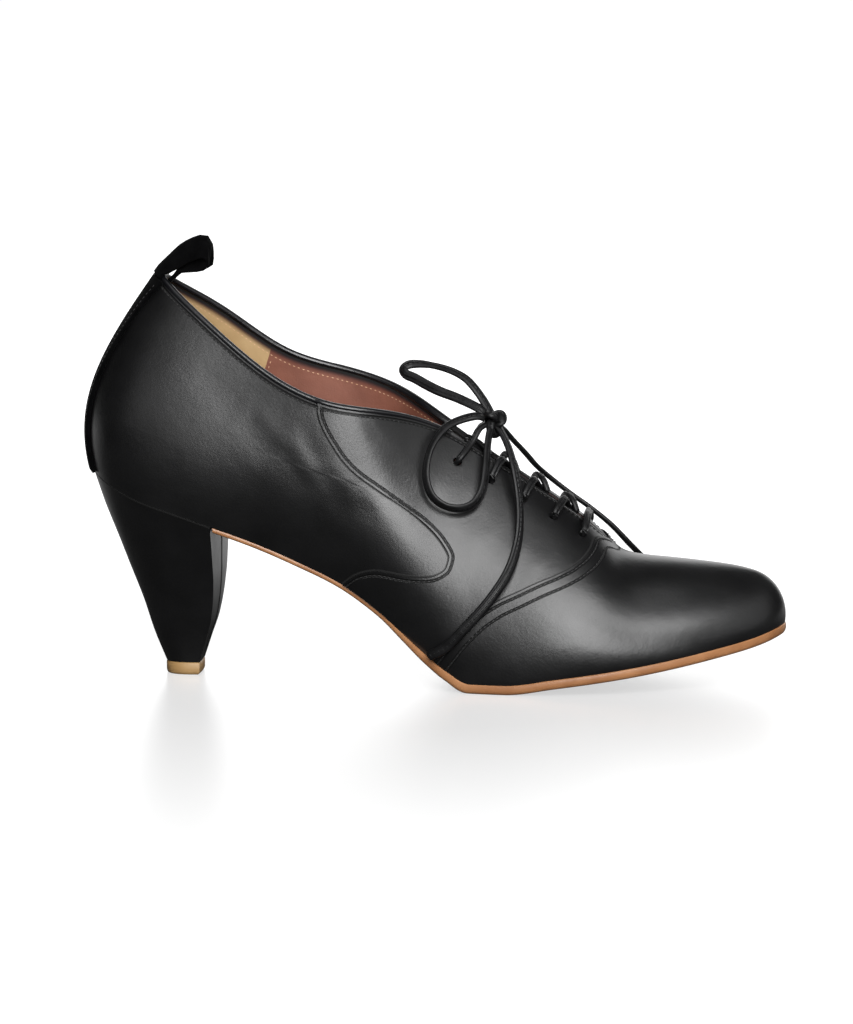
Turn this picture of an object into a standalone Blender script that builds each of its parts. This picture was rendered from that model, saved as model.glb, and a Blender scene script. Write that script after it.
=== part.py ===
"""Right heeled lace-up oxford shoe, women's size 38, built over its last.

Frame: metres, +X to the toe, +Y to the inner (medial) side, +Z up, with the
origin at the middle of the top lift's floor face. The outer (lateral) side is -Y.

Every form comes from one loop of ribs around the last. A rib is a Bezier curve
that stands on the feather line, where upper and sole meet, and ends on the top
line: the collar, the facing's edge or the ridge of the vamp. Ribs are numbered
from the heel (0) along the outer side to the toe (14), and back along the inner
side to the heel (28). A height on a rib runs from 0 at the feather line to 1.
"""

import math
from collections import namedtuple

import bmesh
import bpy
import numpy as np
from mathutils import Matrix, Vector

# Driving dimensions
LENGTH = 0.2428          # back of the seat to the tip of the feather line
BALL_WIDTH = 0.071       # feather line across the ball
INSTEP = 0.075           # top line above the feather line at the throat
SEAT_HEIGHT = 0.0735     # floor to the feather line at the back of the seat
TOE_SPRING = 0.017       # rise of the sole from the tread to the toe
HEEL_PITCH = 0.0318      # back of the seat to the middle of the heel's tip
UPPER_WALL = 0.0018      # quarter leather with its lining
LAP = 0.0008             # step where one panel lies over the next
SOLE_THICKNESS = 0.0033
WAIST_THICKNESS = 0.0018
SOLE_EDGE = 0.0005       # sole standing proud of the vamp
INSOLE_THICKNESS = 0.0020
CLEARANCE = 0.0003       # between pieces that touch
LIFT_HEIGHT = 0.0044
LIFT_LENGTH = 0.0127
LIFT_WIDTH = 0.0140
BREAST_ALONG = 0.185     # heel breast, as a share of LENGTH
BREAST_CROWN = 0.0006
EYELET_RADIUS = 0.0015
LACE_DIAMETER = 0.0032
CROSSING_DIAMETER = 0.0028
TONGUE_THICKNESS = 0.0016
TONGUE_REACH = 0.30      # share of a rib that it covers, down from the facing
TONGUE_GAP = 0.0008      # under the facings
BINDING_WIDTH = 0.0026
BINDING_HEIGHT = 0.0022
STRIP_THICKNESS = 0.0013
STRIP_TOP_HALF_WIDTH = 0.0075
STRIP_HALF_WIDTH = 0.0110
TAB_THICKNESS = 0.0014
TAB_HALF_WIDTH = 0.0062
TAB_SEWN_HALF_WIDTH = 0.0026
TAB_REACH = 0.0185       # forward from the collar's back edge
TAB_DROOP = 0.0022       # fall of the tab's side edges below its middle

OUTER = -1
INNER = 1

# The bottom line of the last: shares of LENGTH, of SEAT_HEIGHT above the tread,
# and of TOE_SPRING. The tread is flat between its two ends.
TREAD_START = 0.563
TREAD_END = 0.613
Tread = namedtuple("Tread", "along seat spring")
BOTTOM = [
    Tread(0.000, 1.000, 0.0),
    Tread(0.032, 0.943, 0.0),
    Tread(0.077, 0.873, 0.0),
    Tread(0.131, 0.811, 0.0),
    Tread(0.189, 0.739, 0.0),
    Tread(0.250, 0.660, 0.0),
    Tread(0.312, 0.566, 0.0),
    Tread(0.372, 0.466, 0.0),
    Tread(0.432, 0.326, 0.0),
    Tread(0.469, 0.218, 0.0),
    Tread(0.502, 0.124, 0.0),
    Tread(0.530, 0.056, 0.0),
    Tread(TREAD_START, 0.0, 0.0),
    Tread(TREAD_END, 0.0, 0.0),
    Tread(0.683, 0.0, 0.135),
    Tread(0.790, 0.0, 0.359),
    Tread(0.897, 0.0, 0.647),
    Tread(0.971, 0.0, 0.876),
    Tread(1.000, 0.0, 1.000),
    Tread(1.021, 0.0, 1.094),
]

# One row for each rib. foot and top are places along the shoe, as shares of
# LENGTH; outer and inner are the feather line's half breadths, top_outer and
# top_inner the top line's, swell and crown how far the rib's lower and upper
# handles stand out, and swing the centre line's turn to the inner side, all as
# shares of BALL_WIDTH; rise is the top line above the feather line, as a share
# of INSTEP; low and high are the handles' places along the rib; turn is the
# direction in which the rib faces, in degrees; wall is the share of UPPER_WALL
# that lies inside the quarter's own surface.
Section = namedtuple(
    "Section",
    "name foot outer inner top top_outer top_inner rise_outer rise_inner "
    "swell_outer swell_inner crown low high turn swing wall",
)
SECTIONS = [
    Section("back", 0.000, 0.000, 0.000, 0.097, 0.000, 0.000, 0.907, 0.907,
            0.194, 0.194, 0.138, 0.35, 0.40, -90, 0.000, 1.00),
    Section("heel corner", 0.033, 0.254, 0.254, 0.120, 0.134, 0.134, 0.899, 0.903,
            0.190, 0.190, 0.127, 0.35, 0.40, -52, 0.000, 1.00),
    Section("heel side", 0.106, 0.359, 0.352, 0.185, 0.246, 0.246, 0.820, 0.861,
            0.120, 0.120, 0.077, 0.35, 0.40, -12, 0.000, 1.00),
    Section("breast", 0.193, 0.345, 0.324, 0.267, 0.324, 0.324, 0.715, 0.772,
            0.106, 0.113, 0.056, 0.35, 0.38, -4, 0.000, 1.00),
    Section("waist back", 0.287, 0.310, 0.261, 0.353, 0.359, 0.359, 0.707, 0.799,
            0.110, 0.120, 0.062, 0.35, 0.36, 0, 0.000, 1.00),
    Section("waist", 0.386, 0.317, 0.211, 0.436, 0.289, 0.289, 0.816, 0.876,
            0.144, 0.169, 0.094, 0.34, 0.35, 0, 0.000, 0.94),
    Section("throat", 0.485, 0.394, 0.303, 0.510, 0.106, 0.106, 0.976, 1.003,
            0.211, 0.231, 0.159, 0.33, 0.35, 0, 0.000, 0.83),
    Section("ball back", 0.576, 0.472, 0.437, 0.592, 0.077, 0.077, 0.983, 0.985,
            0.197, 0.197, 0.155, 0.33, 0.30, 0, 0.000, 0.72),
    Section("ball", 0.666, 0.493, 0.507, 0.671, 0.063, 0.063, 0.796, 0.796,
            0.204, 0.190, 0.183, 0.33, 0.22, 0, 0.000, 0.56),
    Section("throat base", 0.745, 0.479, 0.514, 0.736, 0.042, 0.042, 0.599, 0.599,
            0.197, 0.197, 0.225, 0.33, 0.10, 0, 0.007, 0.44),
    Section("vamp", 0.811, 0.441, 0.468, 0.769, 0.000, 0.000, 0.455, 0.455,
            0.190, 0.204, 0.282, 0.33, 0.00, 4, 0.018, 0.28),
    Section("toe back", 0.872, 0.382, 0.388, 0.831, 0.000, 0.000, 0.385, 0.385,
            0.162, 0.169, 0.239, 0.33, 0.00, 12, 0.031, 0.28),
    Section("toe side", 0.930, 0.290, 0.290, 0.889, 0.000, 0.000, 0.329, 0.329,
            0.131, 0.141, 0.183, 0.33, 0.02, 32, 0.044, 0.28),
    Section("toe corner", 0.975, 0.178, 0.176, 0.926, 0.000, 0.000, 0.279, 0.279,
            0.107, 0.113, 0.155, 0.33, 0.04, 62, 0.054, 0.28),
    Section("toe", 1.000, 0.000, 0.000, 0.942, 0.000, 0.000, 0.241, 0.241,
            0.086, 0.086, 0.169, 0.33, 0.03, 90, 0.056, 0.28),
]
TOE_RIB = len(SECTIONS) - 1
RIBS = 2 * TOE_RIB

# Where the front quarter's folded edge and the vamp's edge run: at each height,
# the rib that each crosses. The quarter's edge falls from the collar, bulges
# forward and returns to the sole; the vamp's edge falls from the throat's base.
Seam = namedtuple("Seam", "height quarter vamp")
SEAMS = [
    Seam(0.00, 4.90, 6.30),
    Seam(0.09, 5.04, 6.44),
    Seam(0.19, 5.30, 6.61),
    Seam(0.27, 5.68, 6.79),
    Seam(0.33, 5.97, 6.98),
    Seam(0.39, 6.22, 7.23),
    Seam(0.45, 6.37, 7.57),
    Seam(0.50, 6.40, 7.86),
    Seam(0.55, 6.24, 8.16),
    Seam(0.585, 5.92, 8.33),
    Seam(0.605, 5.28, 8.42),
    Seam(0.64, 4.84, 8.54),
    Seam(0.70, 4.54, 8.71),
    Seam(0.78, 4.30, 8.84),
    Seam(0.87, 4.07, 8.92),
    Seam(0.94, 3.94, 9.10),
    Seam(1.00, 3.88, 9.35),
]

Eyelet = namedtuple("Eyelet", "rib height")
EYELETS = [
    Eyelet(6.35, 0.905),
    Eyelet(6.92, 0.905),
    Eyelet(7.49, 0.895),
    Eyelet(8.05, 0.878),
    Eyelet(8.62, 0.858),
]

# The heel's level sections, each the seat's outline squeezed to its own back,
# breast and half width. drop is the share of the way down to the top lift; the
# rest are shares of HEEL_PITCH, of the breast's distance from the tip's middle,
# and of the seat's half width.
Level = namedtuple("Level", "drop back breast width")
HEEL_LEVELS = [
    Level(0.00, 1.000, 1.000, 1.000),
    Level(0.17, 0.880, 1.000, 0.850),
    Level(0.34, 0.736, 1.000, 0.715),
    Level(0.50, 0.604, 0.965, 0.590),
    Level(0.68, 0.453, 0.865, 0.460),
    Level(0.85, 0.333, 0.665, 0.350),
]

# The pull tab's middle line between the collar's back and the lining: forward
# and up from the back of the collar's edge, as shares of TAB_REACH; half breadth
# and fall of its side edges, as shares of TAB_HALF_WIDTH and TAB_DROOP.
TabPoint = namedtuple("TabPoint", "forward up breadth droop")
TAB_ROUTE = [
    TabPoint(0.24, 0.37, 1.00, 0.80),
    TabPoint(0.45, 0.56, 1.00, 1.00),
    TabPoint(0.65, 0.67, 1.00, 1.00),
    TabPoint(0.83, 0.73, 1.00, 1.00),
    TabPoint(0.94, 0.71, 0.98, 0.95),
    TabPoint(1.00, 0.60, 0.95, 0.90),
    TabPoint(0.96, 0.46, 0.92, 0.80),
    TabPoint(0.83, 0.37, 0.86, 0.70),
    TabPoint(0.61, 0.27, 0.76, 0.50),
    TabPoint(0.43, 0.14, 0.62, 0.20),
    TabPoint(0.32, -0.02, 0.50, 0.00),
]


# The free lace's routes, in metres. Each end leaves the knot, as both loops do.
KNOT_CENTRE = (0.1107, -0.0010, 0.0908)
KNOT_RADII = (0.0028, 0.0038, 0.0044)
LACE_ROUTES = {
    "lace_loop_upper": [
        (0.1087, 0.0008, 0.0942), (0.1060, 0.0029, 0.0984), (0.1027, 0.0046, 0.1025),
        (0.0997, 0.0062, 0.1052), (0.0957, 0.0080, 0.1072), (0.0912, 0.0100, 0.1085),
        (0.0865, 0.0115, 0.1093), (0.0822, 0.0120, 0.1096), (0.0787, 0.0119, 0.1092),
        (0.0770, 0.0110, 0.1078), (0.0781, 0.0098, 0.1062), (0.0812, 0.0085, 0.1050),
        (0.0864, 0.0060, 0.1026), (0.0909, 0.0040, 0.1008), (0.0964, 0.0020, 0.0991),
        (0.1017, 0.0000, 0.0971), (0.1055, -0.0012, 0.0953),
    ],
    "lace_loop_lower": [
        (0.1053, -0.0056, 0.0934), (0.0997, -0.0086, 0.0925), (0.0944, -0.0125, 0.0900),
        (0.0906, -0.0172, 0.0850), (0.0888, -0.0212, 0.0790), (0.0889, -0.0240, 0.0730),
        (0.0912, -0.0255, 0.0676), (0.0957, -0.0257, 0.0643), (0.1009, -0.0247, 0.0634),
        (0.1052, -0.0226, 0.0648), (0.1080, -0.0192, 0.0692), (0.1088, -0.0146, 0.0757),
        (0.1088, -0.0096, 0.0821), (0.1092, -0.0046, 0.0875),
    ],
    "lace_end_near": [
        (0.1130, -0.0035, 0.0879), (0.1158, -0.0078, 0.0836), (0.1181, -0.0122, 0.0780),
        (0.1196, -0.0152, 0.0722), (0.1207, -0.0180, 0.0660), (0.1213, -0.0217, 0.0590),
        (0.1208, -0.0263, 0.0512), (0.1182, -0.0314, 0.0426), (0.1122, -0.0354, 0.0332),
        (0.1046, -0.0370, 0.0244), (0.0966, -0.0362, 0.0162), (0.0905, -0.0338, 0.0128),
    ],
    "lace_end_far": [
        (0.1131, 0.0019, 0.0885), (0.1162, 0.0056, 0.0842), (0.1204, 0.0092, 0.0790),
        (0.1244, 0.0124, 0.0738), (0.1300, 0.0150, 0.0686), (0.1364, 0.0158, 0.0636),
        (0.1430, 0.0156, 0.0590), (0.1506, 0.0158, 0.0528), (0.1572, 0.0178, 0.0456),
        (0.1632, 0.0250, 0.0382), (0.1682, 0.0294, 0.0326), (0.1712, 0.0326, 0.0270),
        (0.1726, 0.0348, 0.0214),
    ],
}
LACE_POINT_SPACING = 2.4  # diameters between a cord's points
TUBE_SIDES = 8


def monotone(places, values, at):
    """A smooth curve through the rows that never swings past them."""
    places = np.asarray(places, float)
    values = np.asarray(values, float)
    steps = np.diff(places)
    slopes = np.diff(values) / steps
    tangents = np.zeros(len(places))
    tangents[0] = slopes[0]
    tangents[-1] = slopes[-1]
    for i in range(1, len(places) - 1):
        if slopes[i - 1] * slopes[i] > 0:
            before = 2 * steps[i] + steps[i - 1]
            after = steps[i] + 2 * steps[i - 1]
            tangents[i] = (before + after) / (before / slopes[i - 1] + after / slopes[i])
    at = np.clip(at, places[0], places[-1])
    i = np.clip(np.searchsorted(places, at, side="right") - 1, 0, len(steps) - 1)
    t = (at - places[i]) / steps[i]
    return (
        (1 + 2 * t) * (1 - t) ** 2 * values[i]
        + t * (1 - t) ** 2 * steps[i] * tangents[i]
        + t * t * (3 - 2 * t) * values[i + 1]
        + t * t * (t - 1) * steps[i] * tangents[i + 1]
    )


def place_along(share):
    return share * LENGTH - HEEL_PITCH


def feather_height(x):
    """Height of the plane on which the upper stands, also the sole's top."""
    along = (np.asarray(x, float) + HEEL_PITCH) / LENGTH
    rows = [row.along for row in BOTTOM]
    seat = monotone(rows, [row.seat for row in BOTTOM], along)
    spring = monotone(rows, [row.spring for row in BOTTOM], along)
    return SOLE_THICKNESS + seat * (SEAT_HEIGHT - SOLE_THICKNESS) + spring * TOE_SPRING


def rib_row(section, side):
    """The four Bezier points of a section's rib, and its inner wall."""
    if side == OUTER:
        breadth, top_breadth = section.outer, section.top_outer
        rise, swell = section.rise_outer, section.swell_outer
    else:
        breadth, top_breadth = section.inner, section.top_inner
        rise, swell = section.rise_inner, section.swell_inner
    angle = math.radians(section.turn)
    facing = np.array([math.sin(angle), side * math.cos(angle), 0.0]) * BALL_WIDTH
    foot_x = place_along(section.foot)
    foot_z = float(feather_height(foot_x))
    foot = np.array([foot_x, (section.swing + side * breadth) * BALL_WIDTH, foot_z])
    top = np.array([
        place_along(section.top),
        (section.swing + side * top_breadth) * BALL_WIDTH,
        foot_z + rise * INSTEP,
    ])
    chord = top - foot
    lower = foot + section.low * chord + swell * facing
    upper = top - section.high * chord + section.crown * facing
    return np.concatenate([foot, lower, upper, top, [section.wall * UPPER_WALL]])


ROWS = np.array(
    [rib_row(section, OUTER) for section in SECTIONS]
    + [rib_row(section, INNER) for section in SECTIONS[-2:0:-1]]
)


def loop_bends(rows):
    """Second derivatives of the closed cubic spline through the rows."""
    count = len(rows)
    matrix = 4 * np.eye(count) + np.roll(np.eye(count), 1, 0) + np.roll(np.eye(count), -1, 0)
    return np.linalg.solve(matrix, 6 * (np.roll(rows, 1, 0) - 2 * rows + np.roll(rows, -1, 0)))


BENDS = loop_bends(ROWS)


def rails(rib):
    """Bezier points and inner wall of the rib at any place around the loop."""
    rib = np.mod(np.asarray(rib, float), RIBS)
    i = np.floor(rib).astype(int) % RIBS
    j = (i + 1) % RIBS
    f = (rib - np.floor(rib))[..., None]
    g = 1 - f
    return g * ROWS[i] + f * ROWS[j] + (g**3 - g) * BENDS[i] / 6 + (f**3 - f) * BENDS[j] / 6


def last_point(rib, height):
    rib, height = np.broadcast_arrays(np.asarray(rib, float), np.asarray(height, float))
    row = rails(rib)
    foot = row[..., 0:3].copy()
    foot[..., 2] = feather_height(foot[..., 0]) + CLEARANCE
    v = height[..., None]
    w = 1 - v
    return w**3 * foot + 3 * w * w * v * row[..., 3:6] + 3 * w * v * v * row[..., 6:9] + v**3 * row[..., 9:12]


STEP = 1e-3              # of a rib, for directions on the last
POLE = 0.98              # highest place on a rib where its direction is read


def last_normal(rib, height):
    rib, height = np.broadcast_arrays(np.asarray(rib, float), np.asarray(height, float))
    v = np.clip(height, STEP, POLE)
    along = last_point(rib + STEP, v) - last_point(rib - STEP, v)
    up = last_point(rib, v + STEP) - last_point(rib, v - STEP)
    normal = np.cross(along, up)
    return normal / np.linalg.norm(normal, axis=-1, keepdims=True)


def skin(rib, height, out):
    """A point out from the quarter's surface; out is negative inside it."""
    return last_point(rib, height) + np.asarray(out, float)[..., None] * last_normal(rib, height)


def wall_inside(rib):
    return rails(rib)[..., 12]


def mirrored(rib, side):
    return rib if side == OUTER else RIBS - rib


def new_object(name, mesh, color, roughness, metallic=0.0):
    material = bpy.data.materials.new(name)
    material.use_nodes = True
    shader = material.node_tree.nodes["Principled BSDF"]
    shader.inputs["Base Color"].default_value = (*color, 1.0)
    shader.inputs["Roughness"].default_value = roughness
    shader.inputs["Metallic"].default_value = metallic
    material.diffuse_color = (*color, 1.0)
    mesh.materials.clear()
    mesh.materials.append(material)
    for face in mesh.polygons:
        face.material_index = 0
    thing = bpy.data.objects.new(name, mesh)
    bpy.context.scene.collection.objects.link(thing)
    return thing


def to_mesh(bm, name, smooth=True):
    bmesh.ops.remove_doubles(bm, verts=bm.verts, dist=1e-6)
    bmesh.ops.dissolve_degenerate(bm, edges=bm.edges, dist=1e-7)
    bmesh.ops.recalc_face_normals(bm, faces=bm.faces)
    mesh = bpy.data.meshes.new(name)
    bm.to_mesh(mesh)
    bm.free()
    if smooth:
        mesh.shade_smooth()
        mesh.set_sharp_from_angle(angle=math.radians(40))
    return mesh


def shell_from_grids(outside, inside):
    """Closes two matching grids of points, rows by columns, into one solid."""
    rows, columns = outside.shape[:2]
    bm = bmesh.new()
    bmesh.ops.create_grid(bm, x_segments=columns - 1, y_segments=rows - 1, size=1)
    bm.verts.ensure_lookup_table()
    number = bm.verts.layers.int.new("number")
    for vert in bm.verts:
        vert[number] = vert.index
    sheet = list(bm.verts)
    grown = bmesh.ops.extrude_face_region(bm, geom=bm.faces[:], use_keep_orig=True)
    raised = [item for item in grown["geom"] if isinstance(item, bmesh.types.BMVert)]
    for vert in sheet:
        vert.co = inside[divmod(vert[number], columns)]
    for vert in raised:
        vert.co = outside[divmod(vert[number], columns)]
    return bm


def difference(target, cutter):
    """Cuts one object from another, and hides the cutter."""
    cutter.hide_render = True
    cutter.display_type = "WIRE"
    cut = target.modifiers.new("cut", "BOOLEAN")
    cut.operation = "DIFFERENCE"
    cut.solver = "EXACT"
    cut.object = cutter


LEATHER = (0.012, 0.012, 0.013)
SUEDE = (0.010, 0.010, 0.011)
TAN = (0.60, 0.30, 0.11)
LINING = (0.62, 0.36, 0.26)
LACE = (0.011, 0.011, 0.012)

QUARTER_COLUMNS = 11
FRONT_COLUMNS = 10
BOUND_FRONT_COLUMNS = 5  # of them, from the seam to where the collar's binding ends
VAMP_COLUMNS = 12
HEEL_CROWDING = 1.35     # columns gather at the rounded heel
FRONT_CROWDING = 1.25    # and where the collar dips
TOE_CROWDING = 1.25      # and at the rounded toe


def upper_columns(side):
    """Each column's rib at every seam height, and how far out its panel lies."""
    quarter = np.array([seam.quarter for seam in SEAMS])
    vamp = np.array([seam.vamp for seam in SEAMS])
    columns = []
    for i in range(QUARTER_COLUMNS + 1):
        share = (i / QUARTER_COLUMNS) ** HEEL_CROWDING
        columns.append((quarter * share, 0.0))
    for i in range(FRONT_COLUMNS + 1):
        share = (i / FRONT_COLUMNS) ** FRONT_CROWDING
        columns.append((quarter + (vamp - quarter) * share, LAP))
    for i in range(VAMP_COLUMNS + 1):
        share = 1 - (1 - i / VAMP_COLUMNS) ** TOE_CROWDING
        columns.append((vamp + (TOE_RIB - vamp) * share, 2 * LAP))
    return [(mirrored(ribs, side), out) for ribs, out in columns]


def on_feather(points, stand=CLEARANCE):
    points[..., 2] = feather_height(points[..., 0]) + stand
    return points


def make_upper():
    """The hollow upper: three panels as steps in one wall, open on top and below."""
    heights = np.array([seam.height for seam in SEAMS])
    outer_side = upper_columns(OUTER)
    inner_side = upper_columns(INNER)
    loop = outer_side + inner_side[-2::-1]
    outside = np.array([skin(ribs, heights, np.full(len(heights), out)) for ribs, out in loop])
    inside = np.array([skin(ribs, heights, -wall_inside(ribs)) for ribs, _ in loop])
    on_feather(outside[:, 0])
    on_feather(inside[:, 0])
    first_vamp = len(outer_side) - VAMP_COLUMNS - 1
    for grid in (outside, inside):
        for i in range(first_vamp, len(outer_side)):
            j = len(loop) - 1 - i
            middle = (grid[i, -1] + grid[j, -1]) / 2
            grid[i, -1] = middle
            grid[j, -1] = middle
    bm = shell_from_grids(outside.transpose(1, 0, 2), inside.transpose(1, 0, 2))
    number = bm.verts.layers.int["number"]
    top_row = (len(heights) - 1) * len(loop)
    ridge = set(range(top_row + first_vamp, top_row + len(loop) - first_vamp))
    back_seam = [set(range(column, len(heights) * len(loop), len(loop))) for column in (0, len(loop) - 1)]
    closed = [ridge, *back_seam]
    rim = [face for face in bm.faces if any({vert[number] for vert in face.verts} <= line for line in closed)]
    bmesh.ops.delete(bm, geom=rim, context="FACES_ONLY")
    upper = new_object("upper", to_mesh(bm, "upper"), LEATHER, 0.38)
    difference(upper, make_punches())
    return upper


def make_punches():
    """One cutter with a pin through each eyelet of both facings."""
    bm = bmesh.new()
    length = 4 * UPPER_WALL
    for side in (OUTER, INNER):
        for eyelet in EYELETS:
            rib = mirrored(eyelet.rib, side)
            centre = Vector(last_point(rib, eyelet.height))
            axis = Vector(last_normal(rib, eyelet.height))
            turn = axis.to_track_quat("Z", "Y").to_matrix().to_4x4()
            bmesh.ops.create_cone(
                bm, cap_ends=True, segments=10, radius1=EYELET_RADIUS, radius2=EYELET_RADIUS,
                depth=length, matrix=Matrix.Translation(centre) @ turn,
            )
    mesh = bpy.data.meshes.new("eyelet_punches")
    bm.to_mesh(mesh)
    bm.free()
    return new_object("eyelet_punches", mesh, LEATHER, 0.4)


class Outline:
    """The feather line moved out by a distance that may change along the shoe."""

    def __init__(self, move):
        self.sides = {}
        for side in (OUTER, INNER):
            ribs = mirrored(np.linspace(0, TOE_RIB, 281), side)
            foot = last_point(ribs, 0.0)
            ahead = last_point(ribs + STEP, 0.0) - last_point(ribs - STEP, 0.0)
            across = np.stack([ahead[:, 1], -ahead[:, 0]], axis=1)
            across /= np.linalg.norm(across, axis=1, keepdims=True)
            plan = foot[:, :2] + move(foot[:, 0])[:, None] * across
            self.sides[side] = plan
        self.back = self.sides[OUTER][0]
        self.tip = self.sides[OUTER][-1]

    def edge(self, x, side):
        plan = self.sides[side]
        order = np.argsort(plan[:, 0])
        return np.interp(x, plan[order, 0], plan[order, 1])


def ease(x, start, end):
    t = np.clip((x - start) / (end - start), 0, 1)
    return t * t * (3 - 2 * t)


STATION_STEP = 0.02      # of LENGTH, between places where the sole's height is read
ROUNDED_ENDS = 0.10      # of LENGTH, where an outline rounds off


def stations(start, end, round_start=False):
    """Places along the shoe, shared by all that lies on the feather line's plane."""
    middle = [place_along(i * STATION_STEP) for i in range(int(1 / STATION_STEP) + 1)]
    tread = [place_along(TREAD_START), place_along(TREAD_END)]
    turn = math.pi / 2 * np.linspace(0, 1, 9)
    ends = [end - ROUNDED_ENDS * LENGTH * (1 - math.sin(a)) for a in turn]
    low = end - ROUNDED_ENDS * LENGTH
    high = start
    if round_start:
        ends += [start + ROUNDED_ENDS * LENGTH * (1 - math.sin(a)) for a in turn]
        high = start + ROUNDED_ENDS * LENGTH
    spare = STATION_STEP * LENGTH / 3
    inner = [x for x in middle if high + spare < x < low - spare and min(abs(x - t) for t in tread) > spare]
    return np.array(sorted({start, *inner, *tread, *ends}))


def slab(outline, places, lowest, highest, across=2):
    """A solid between two heights, as broad as the outline at each station."""
    sides = np.array([
        outline.edge(places, OUTER) * (1 - i / across) + outline.edge(places, INNER) * (i / across)
        for i in range(across + 1)
    ])
    x = np.broadcast_to(places, sides.shape)
    top = np.stack([x, sides, highest(x)], axis=-1)
    bottom = np.stack([x, sides, lowest(x)], axis=-1)
    return shell_from_grids(top, bottom)


SOLE_WAIST_ALONG = 0.42  # where the thin waist starts to thicken
VAMP_EDGE_ALONG = 0.50   # where the vamp first reaches the sole


def sole_move(x):
    start = place_along(SOLE_WAIST_ALONG)
    return (2 * LAP + SOLE_EDGE) * ease(x, start, place_along(VAMP_EDGE_ALONG))


def sole_bottom(x):
    start = place_along(SOLE_WAIST_ALONG)
    thick = WAIST_THICKNESS + (SOLE_THICKNESS - WAIST_THICKNESS) * ease(x, start, place_along(TREAD_START))
    step = STEP * LENGTH
    slope = (feather_height(x + step) - feather_height(x - step)) / (2 * step)
    return np.maximum(feather_height(x) - thick * np.sqrt(1 + slope * slope), 0.0)


def breast_place():
    return place_along(BREAST_ALONG)


def make_outsole():
    outline = Outline(sole_move)
    start = breast_place() + CLEARANCE + BREAST_CROWN
    bm = slab(outline, stations(start, outline.tip[0]), sole_bottom, feather_height)
    return new_object("outsole", to_mesh(bm, "outsole"), TAN, 0.45)


def make_insole():
    def move(x):
        inside = np.interp(
            x,
            [place_along(section.foot) for section in SECTIONS],
            [section.wall * UPPER_WALL for section in SECTIONS],
        )
        return -(inside + 2 * CLEARANCE)

    outline = Outline(move)
    bm = slab(
        outline, stations(outline.back[0], outline.tip[0], round_start=True),
        lambda x: feather_height(x) + CLEARANCE,
        lambda x: feather_height(x) + CLEARANCE + INSOLE_THICKNESS,
    )
    return new_object("insole", to_mesh(bm, "insole"), LINING, 0.6)


SEAT_POINTS = 25         # round the seat, an odd number, without the breast's own


def seat_ring():
    """The seat's outline from the breast's outer corner round the back."""
    breast_rib = np.interp(
        BREAST_ALONG, [section.foot for section in SECTIONS], range(len(SECTIONS))
    )
    ribs = np.linspace(breast_rib, -breast_rib, SEAT_POINTS)
    plan = last_point(ribs, 0.0)[:, :2]
    plan[0, 0] = breast_place()
    plan[-1, 0] = breast_place()
    breast_y = np.linspace(plan[-1, 1], plan[0, 1], 7)[1:-1]
    crown = BREAST_CROWN * np.sin(math.pi * np.linspace(0, 1, 7)[1:-1])
    breast = np.stack([breast_place() + crown, breast_y], axis=1)
    return np.concatenate([plan, breast])


def squeezed(ring, back, breast, half_width):
    """The ring scaled to a level's own back, breast and half width."""
    low, high = ring[:, 0].min(), breast_place()
    shares = (ring[:, 0] - low) / (high - low)
    x = back + shares * (breast - back)
    y = ring[:, 1] * half_width / np.abs(ring[:, 1]).max()
    return np.stack([x, y], axis=1)


def rings_to_solid(rings, mirrored_points=0):
    """Joins rings of points, top to bottom, and closes both ends."""
    bm = bmesh.new()
    loops = []
    for ring in rings:
        verts = [bm.verts.new(point) for point in ring]
        edges = [bm.edges.new((verts[i - 1], verts[i])) for i in range(len(verts))]
        loops.append((verts, edges))
    for upper, lower in zip(loops, loops[1:]):
        for i in range(len(upper[0])):
            bm.faces.new((upper[0][i - 1], upper[0][i], lower[0][i], lower[0][i - 1]))
    for verts in (loops[0][0], loops[-1][0]):
        close_ring(bm, verts, mirrored_points)
    return bm


def close_ring(bm, verts, mirrored_points):
    """Faces across a ring: strips between its mirrored points, then one for the rest."""
    for i in range(mirrored_points // 2):
        j = mirrored_points - 1 - i
        strip = [verts[i], verts[i + 1], verts[j - 1], verts[j]]
        bm.faces.new(list(dict.fromkeys(strip)))
    rest = verts if not mirrored_points else [verts[0], *verts[mirrored_points - 1:]]
    bm.faces.new(rest)


def lift_ring(z):
    ring = squeezed(seat_ring(), -LIFT_LENGTH / 2, LIFT_LENGTH / 2, LIFT_WIDTH / 2)
    return np.column_stack([ring, np.full(len(ring), z)])


def make_heel():
    """Leather-covered block from the seat down to the top lift."""
    seat = seat_ring()
    half_width = np.abs(seat[:, 1]).max()
    seat_z = feather_height(seat[:, 0])
    foot = LIFT_HEIGHT + CLEARANCE
    rings = []
    for level in HEEL_LEVELS:
        plan = squeezed(seat, -HEEL_PITCH * level.back, breast_place() * level.breast, half_width * level.width)
        z = seat_z + (foot - seat_z) * level.drop
        rings.append(np.column_stack([plan, z]))
    rings.append(lift_ring(foot))
    mesh = to_mesh(rings_to_solid(rings, SEAT_POINTS), "heel")
    return new_object("heel", mesh, LEATHER, 0.42)


def make_top_lift():
    mesh = to_mesh(rings_to_solid([lift_ring(LIFT_HEIGHT), lift_ring(0.0)], SEAT_POINTS), "top_lift")
    return new_object("top_lift", mesh, TAN, 0.5)


TONGUE_START = 6.05      # rib at the tongue's top edge
TONGUE_END = 9.0


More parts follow.
